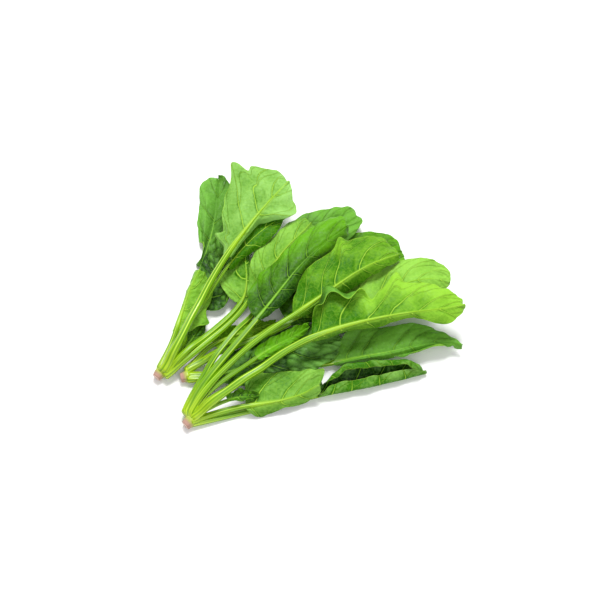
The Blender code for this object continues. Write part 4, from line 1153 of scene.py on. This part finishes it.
class SpinachColours(PropertyGroup):
    """Colours of the bunch."""

    under_deep: FloatVectorProperty(
        name="Underside, deep", description="Darkest underside",
        default=(0.03, 0.15, 0.0), subtype="COLOR", **CHANNELS)
    under_pale: FloatVectorProperty(
        name="Underside, pale", description="Palest underside",
        default=(0.235, 0.515, 0.006), subtype="COLOR", **CHANNELS)
    under_vein: FloatVectorProperty(
        name="Underside veins", description="Raised veins of the underside",
        default=(0.4, 0.68, 0.06), subtype="COLOR", **CHANNELS)
    upper_deep: FloatVectorProperty(
        name="Upper face, deep", description="Darkest upper face",
        default=(0.005, 0.04, 0.0), subtype="COLOR", **CHANNELS)
    upper_pale: FloatVectorProperty(
        name="Upper face, pale", description="Palest upper face",
        default=(0.105, 0.335, 0.002), subtype="COLOR", **CHANNELS)
    upper_vein: FloatVectorProperty(
        name="Upper veins", description="Sunk veins of the upper face",
        default=(0.22, 0.5, 0.03), subtype="COLOR", **CHANNELS)
    # Colour of the painted bluish sheen
    bloom: FloatVectorProperty(
        name="Bloom", description="Bluish bloom of some leaves",
        default=(0.28, 0.53, 0.21), subtype="COLOR", **CHANNELS)
    stem_green: FloatVectorProperty(
        name="Stem", description="Petiole along its length",
        default=(0.18, 0.41, 0.0), subtype="COLOR", **CHANNELS)
    # Light strands, used as the painted highlight on the ridges
    stem_strand_highlight: FloatVectorProperty(
        name="Stem strands", description="Light strands of a petiole",
        default=(0.6, 0.8, 0.08), subtype="COLOR", **CHANNELS)
    # Dark strands, used also as painted shade between the ridges and in the groove
    stem_dark_strands_and_shade: FloatVectorProperty(
        name="Stem groove", description="Deep strands and groove of a petiole",
        default=(0.07, 0.22, 0.0), subtype="COLOR", **CHANNELS)
    stem_pale: FloatVectorProperty(
        name="Stem base", description="Petiole next to the crown",
        default=(0.36, 0.54, 0.01), subtype="COLOR", **CHANNELS)
    midrib: FloatVectorProperty(
        name="Midrib", description="Midrib in the blade",
        default=(0.34, 0.58, 0.01), subtype="COLOR", **CHANNELS)
    crown_pink: FloatVectorProperty(
        name="Crown", description="Flesh of the cut crown",
        default=(0.56, 0.31, 0.25), subtype="COLOR", **CHANNELS)
    crown_heart: FloatVectorProperty(
        name="Crown heart", description="Pale rings of the cut crown",
        default=(0.88, 0.72, 0.6), subtype="COLOR", **CHANNELS)
    crown_rim: FloatVectorProperty(
        name="Crown rim", description="Brown rim of the cut crown",
        default=(0.3, 0.15, 0.1), subtype="COLOR", **CHANNELS)
    floor: FloatVectorProperty(
        name="Floor", description="Floor of the stage",
        default=(0.93, 0.93, 0.93), subtype="COLOR", **CHANNELS)


class SpinachStage(PropertyGroup):
    """Camera and light of the stage."""

    lens: FloatProperty(
        name="Lens", description="Focal length of the camera", default=85, min=10, subtype="DISTANCE_CAMERA")
    away: FloatProperty(
        name="Distance", description="Camera to the middle of the bunch",
        default=1.2183, min=0.2, unit="LENGTH")
    elevation: FloatProperty(
        name="Elevation", description="Height of the camera over the horizon",
        default=math.radians(60), subtype="ANGLE")
    key: FloatProperty(
        name="Key light", description="Power of the large light over the back", default=40, min=0, unit="POWER")
    fill: FloatProperty(
        name="Fill light", description="Power of the light over the camera", default=12.5, min=0, unit="POWER")
    sky: FloatProperty(name="Even light", description="Strength of the light from all round", default=0.50, min=0)


class SPINACH_OT_crowns(Operator):
    """Make the cut crowns of the three plants"""

    bl_idname = "spinach.crowns"
    bl_label = "Crowns"

    def execute(self, context):
        flesh = crown_material(context.scene.spinach_colours)
        for plant in PLANTS:
            made = crown_surface(plant)
            make_piece(f"root_crown_{plant}", f"crown_{plant}", "crown_pink", *made, [flesh])
        return {"FINISHED"}


class SPINACH_OT_petioles(Operator):
    """Make the petioles and midribs of the three plants with the sheaths they leave from"""

    bl_idname = "spinach.petioles"
    bl_label = "Petioles"

    def execute(self, context):
        skin = stem_material(context.scene.spinach_colours)
        sizes = context.scene.spinach_sizes
        laid = lay_all()
        for plant in PLANTS:
            made = [petiole_surface(leaf, laid[leaf["name"]], number, sizes) for number, leaf in enumerate(LEAVES)
                    if leaf["plant"] == plant]
            made.append(collar_surface(plant))
            make_piece(f"petioles_{plant}", f"stems_{plant}", "stem_green", *join_surfaces(made), [skin])
        return {"FINISHED"}


class SPINACH_OT_blades(Operator):
    """Make the leaf blades with their veins and curled margins"""

    bl_idname = "spinach.blades"
    bl_label = "Leaf blades"

    def execute(self, context):
        colours = context.scene.spinach_colours
        sizes = context.scene.spinach_sizes
        under = blade_material("leaf_underside", colours.under_deep, colours.under_pale, colours.under_vein,
                               colours.bloom, UNDER_LOOK)
        upper = blade_material("leaf_upper", colours.upper_deep, colours.upper_pale, colours.upper_vein,
                               colours.bloom, UPPER_LOOK)
        laid = lay_all()
        heights = np.zeros((FINE_CELLS, FINE_CELLS))
        for number, leaf in enumerate(LEAVES):
            grid, places, values = blade_surface(leaf, laid[leaf["name"]], number, sizes)
            grid = settle(grid, heights, sizes.half_thickness)
            heights = fill_holes(heights)
            points, quads, material_index = shell(grid, sizes.half_thickness)
            shown_first = [under, upper] if leaf["face"] == "under" else [upper, under]
            corner = np.concatenate([places, places])[quads.ravel()]
            both = {key: np.concatenate([one, one]) for key, one in values.items()}
            make_piece(f"blade_{leaf['name']}", f"leaf_{leaf['name']}", "blade_" + leaf["face"],
                       points, quads, corner, both, shown_first, material_index)
        return {"FINISHED"}


class SPINACH_OT_stage(Operator):
    """Make the pale floor, the soft lights and the camera"""

    bl_idname = "spinach.stage"
    bl_label = "Stage"

    def execute(self, context):
        scene = context.scene
        look = scene.spinach_stage
        mesh = bpy.data.meshes.new("floor")
        mesh.from_pydata([(-3, -3, 0), (3, -3, 0), (3, 3, 0), (-3, 3, 0)], [], [(0, 1, 2, 3)])
        floor = bpy.data.objects.new("floor", mesh)
        scene.collection.objects.link(floor)
        made, _, shader = new_material("floor_white")
        shader.inputs["Base Color"].default_value = rgba(scene.spinach_colours.floor)
        shader.inputs["Roughness"].default_value = 0.8
        shader.inputs["Specular IOR Level"].default_value = 0.1
        mesh.materials.append(made)
        world = bpy.data.worlds.new("studio")
        world.use_nodes = True
        sky = world.node_tree.nodes["Background"].inputs
        sky["Color"].default_value = (1.0, 1.0, 1.0, 1)
        sky["Strength"].default_value = look.sky
        scene.world = world
        for name, (size, place) in LAMPS.items():
            lamp = bpy.data.lights.new(name, "AREA")
            lamp.shape = "DISK"
            lamp.size = size
            lamp.energy = getattr(look, name)
            item = bpy.data.objects.new(name, lamp)
            item.location = place
            item.rotation_euler = Vector(place).to_track_quat("Z", "Y").to_euler()
            scene.collection.objects.link(item)
        camera = bpy.data.cameras.new("camera")
        camera.lens = look.lens
        camera.sensor_width = 36
        camera.clip_start = 0.05
        camera.clip_end = 20
        eye = bpy.data.objects.new("camera", camera)
        back = look.away * math.cos(look.elevation)
        eye.location = (SHIFT[0] * METRE, SHIFT[1] * METRE - back, look.away * math.sin(look.elevation))
        eye.rotation_euler = (math.pi / 2 - look.elevation, 0, 0)
        scene.collection.objects.link(eye)
        scene.camera = eye
        scene.view_settings.view_transform = "Standard"
        return {"FINISHED"}


class SPINACH_PT_panel(Panel):
    """Steps that build the bunch"""

    bl_idname = "SPINACH_PT_panel"
    bl_label = "Spinach Bunch"
    bl_space_type = "VIEW_3D"
    bl_region_type = "UI"
    bl_category = "Spinach"

    def draw(self, context):
        layout = self.layout
        for step in (SPINACH_OT_crowns, SPINACH_OT_petioles, SPINACH_OT_blades, SPINACH_OT_stage):
            layout.operator(step.bl_idname)
        for group in (context.scene.spinach_sizes, context.scene.spinach_colours, context.scene.spinach_stage):
            box = layout.box()
            for key in group.bl_rna.properties.keys():
                if key not in {"rna_type", "name"}:
                    box.prop(group, key)


CLASSES = (SpinachSizes, SpinachColours, SpinachStage, SPINACH_OT_crowns, SPINACH_OT_petioles, SPINACH_OT_blades,
           SPINACH_OT_stage, SPINACH_PT_panel)


def register():
    for item in CLASSES:
        bpy.utils.register_class(item)
    bpy.types.Scene.spinach_sizes = PointerProperty(type=SpinachSizes)
    bpy.types.Scene.spinach_colours = PointerProperty(type=SpinachColours)
    bpy.types.Scene.spinach_stage = PointerProperty(type=SpinachStage)


def unregister():
    del bpy.types.Scene.spinach_stage
    del bpy.types.Scene.spinach_colours
    del bpy.types.Scene.spinach_sizes
    for item in reversed(CLASSES):
        bpy.utils.unregister_class(item)


def main():
    register()
    bpy.ops.spinach.crowns()
    bpy.ops.spinach.petioles()
    bpy.ops.spinach.blades()
    bpy.ops.spinach.stage()


if __name__ == "__main__":
    main()
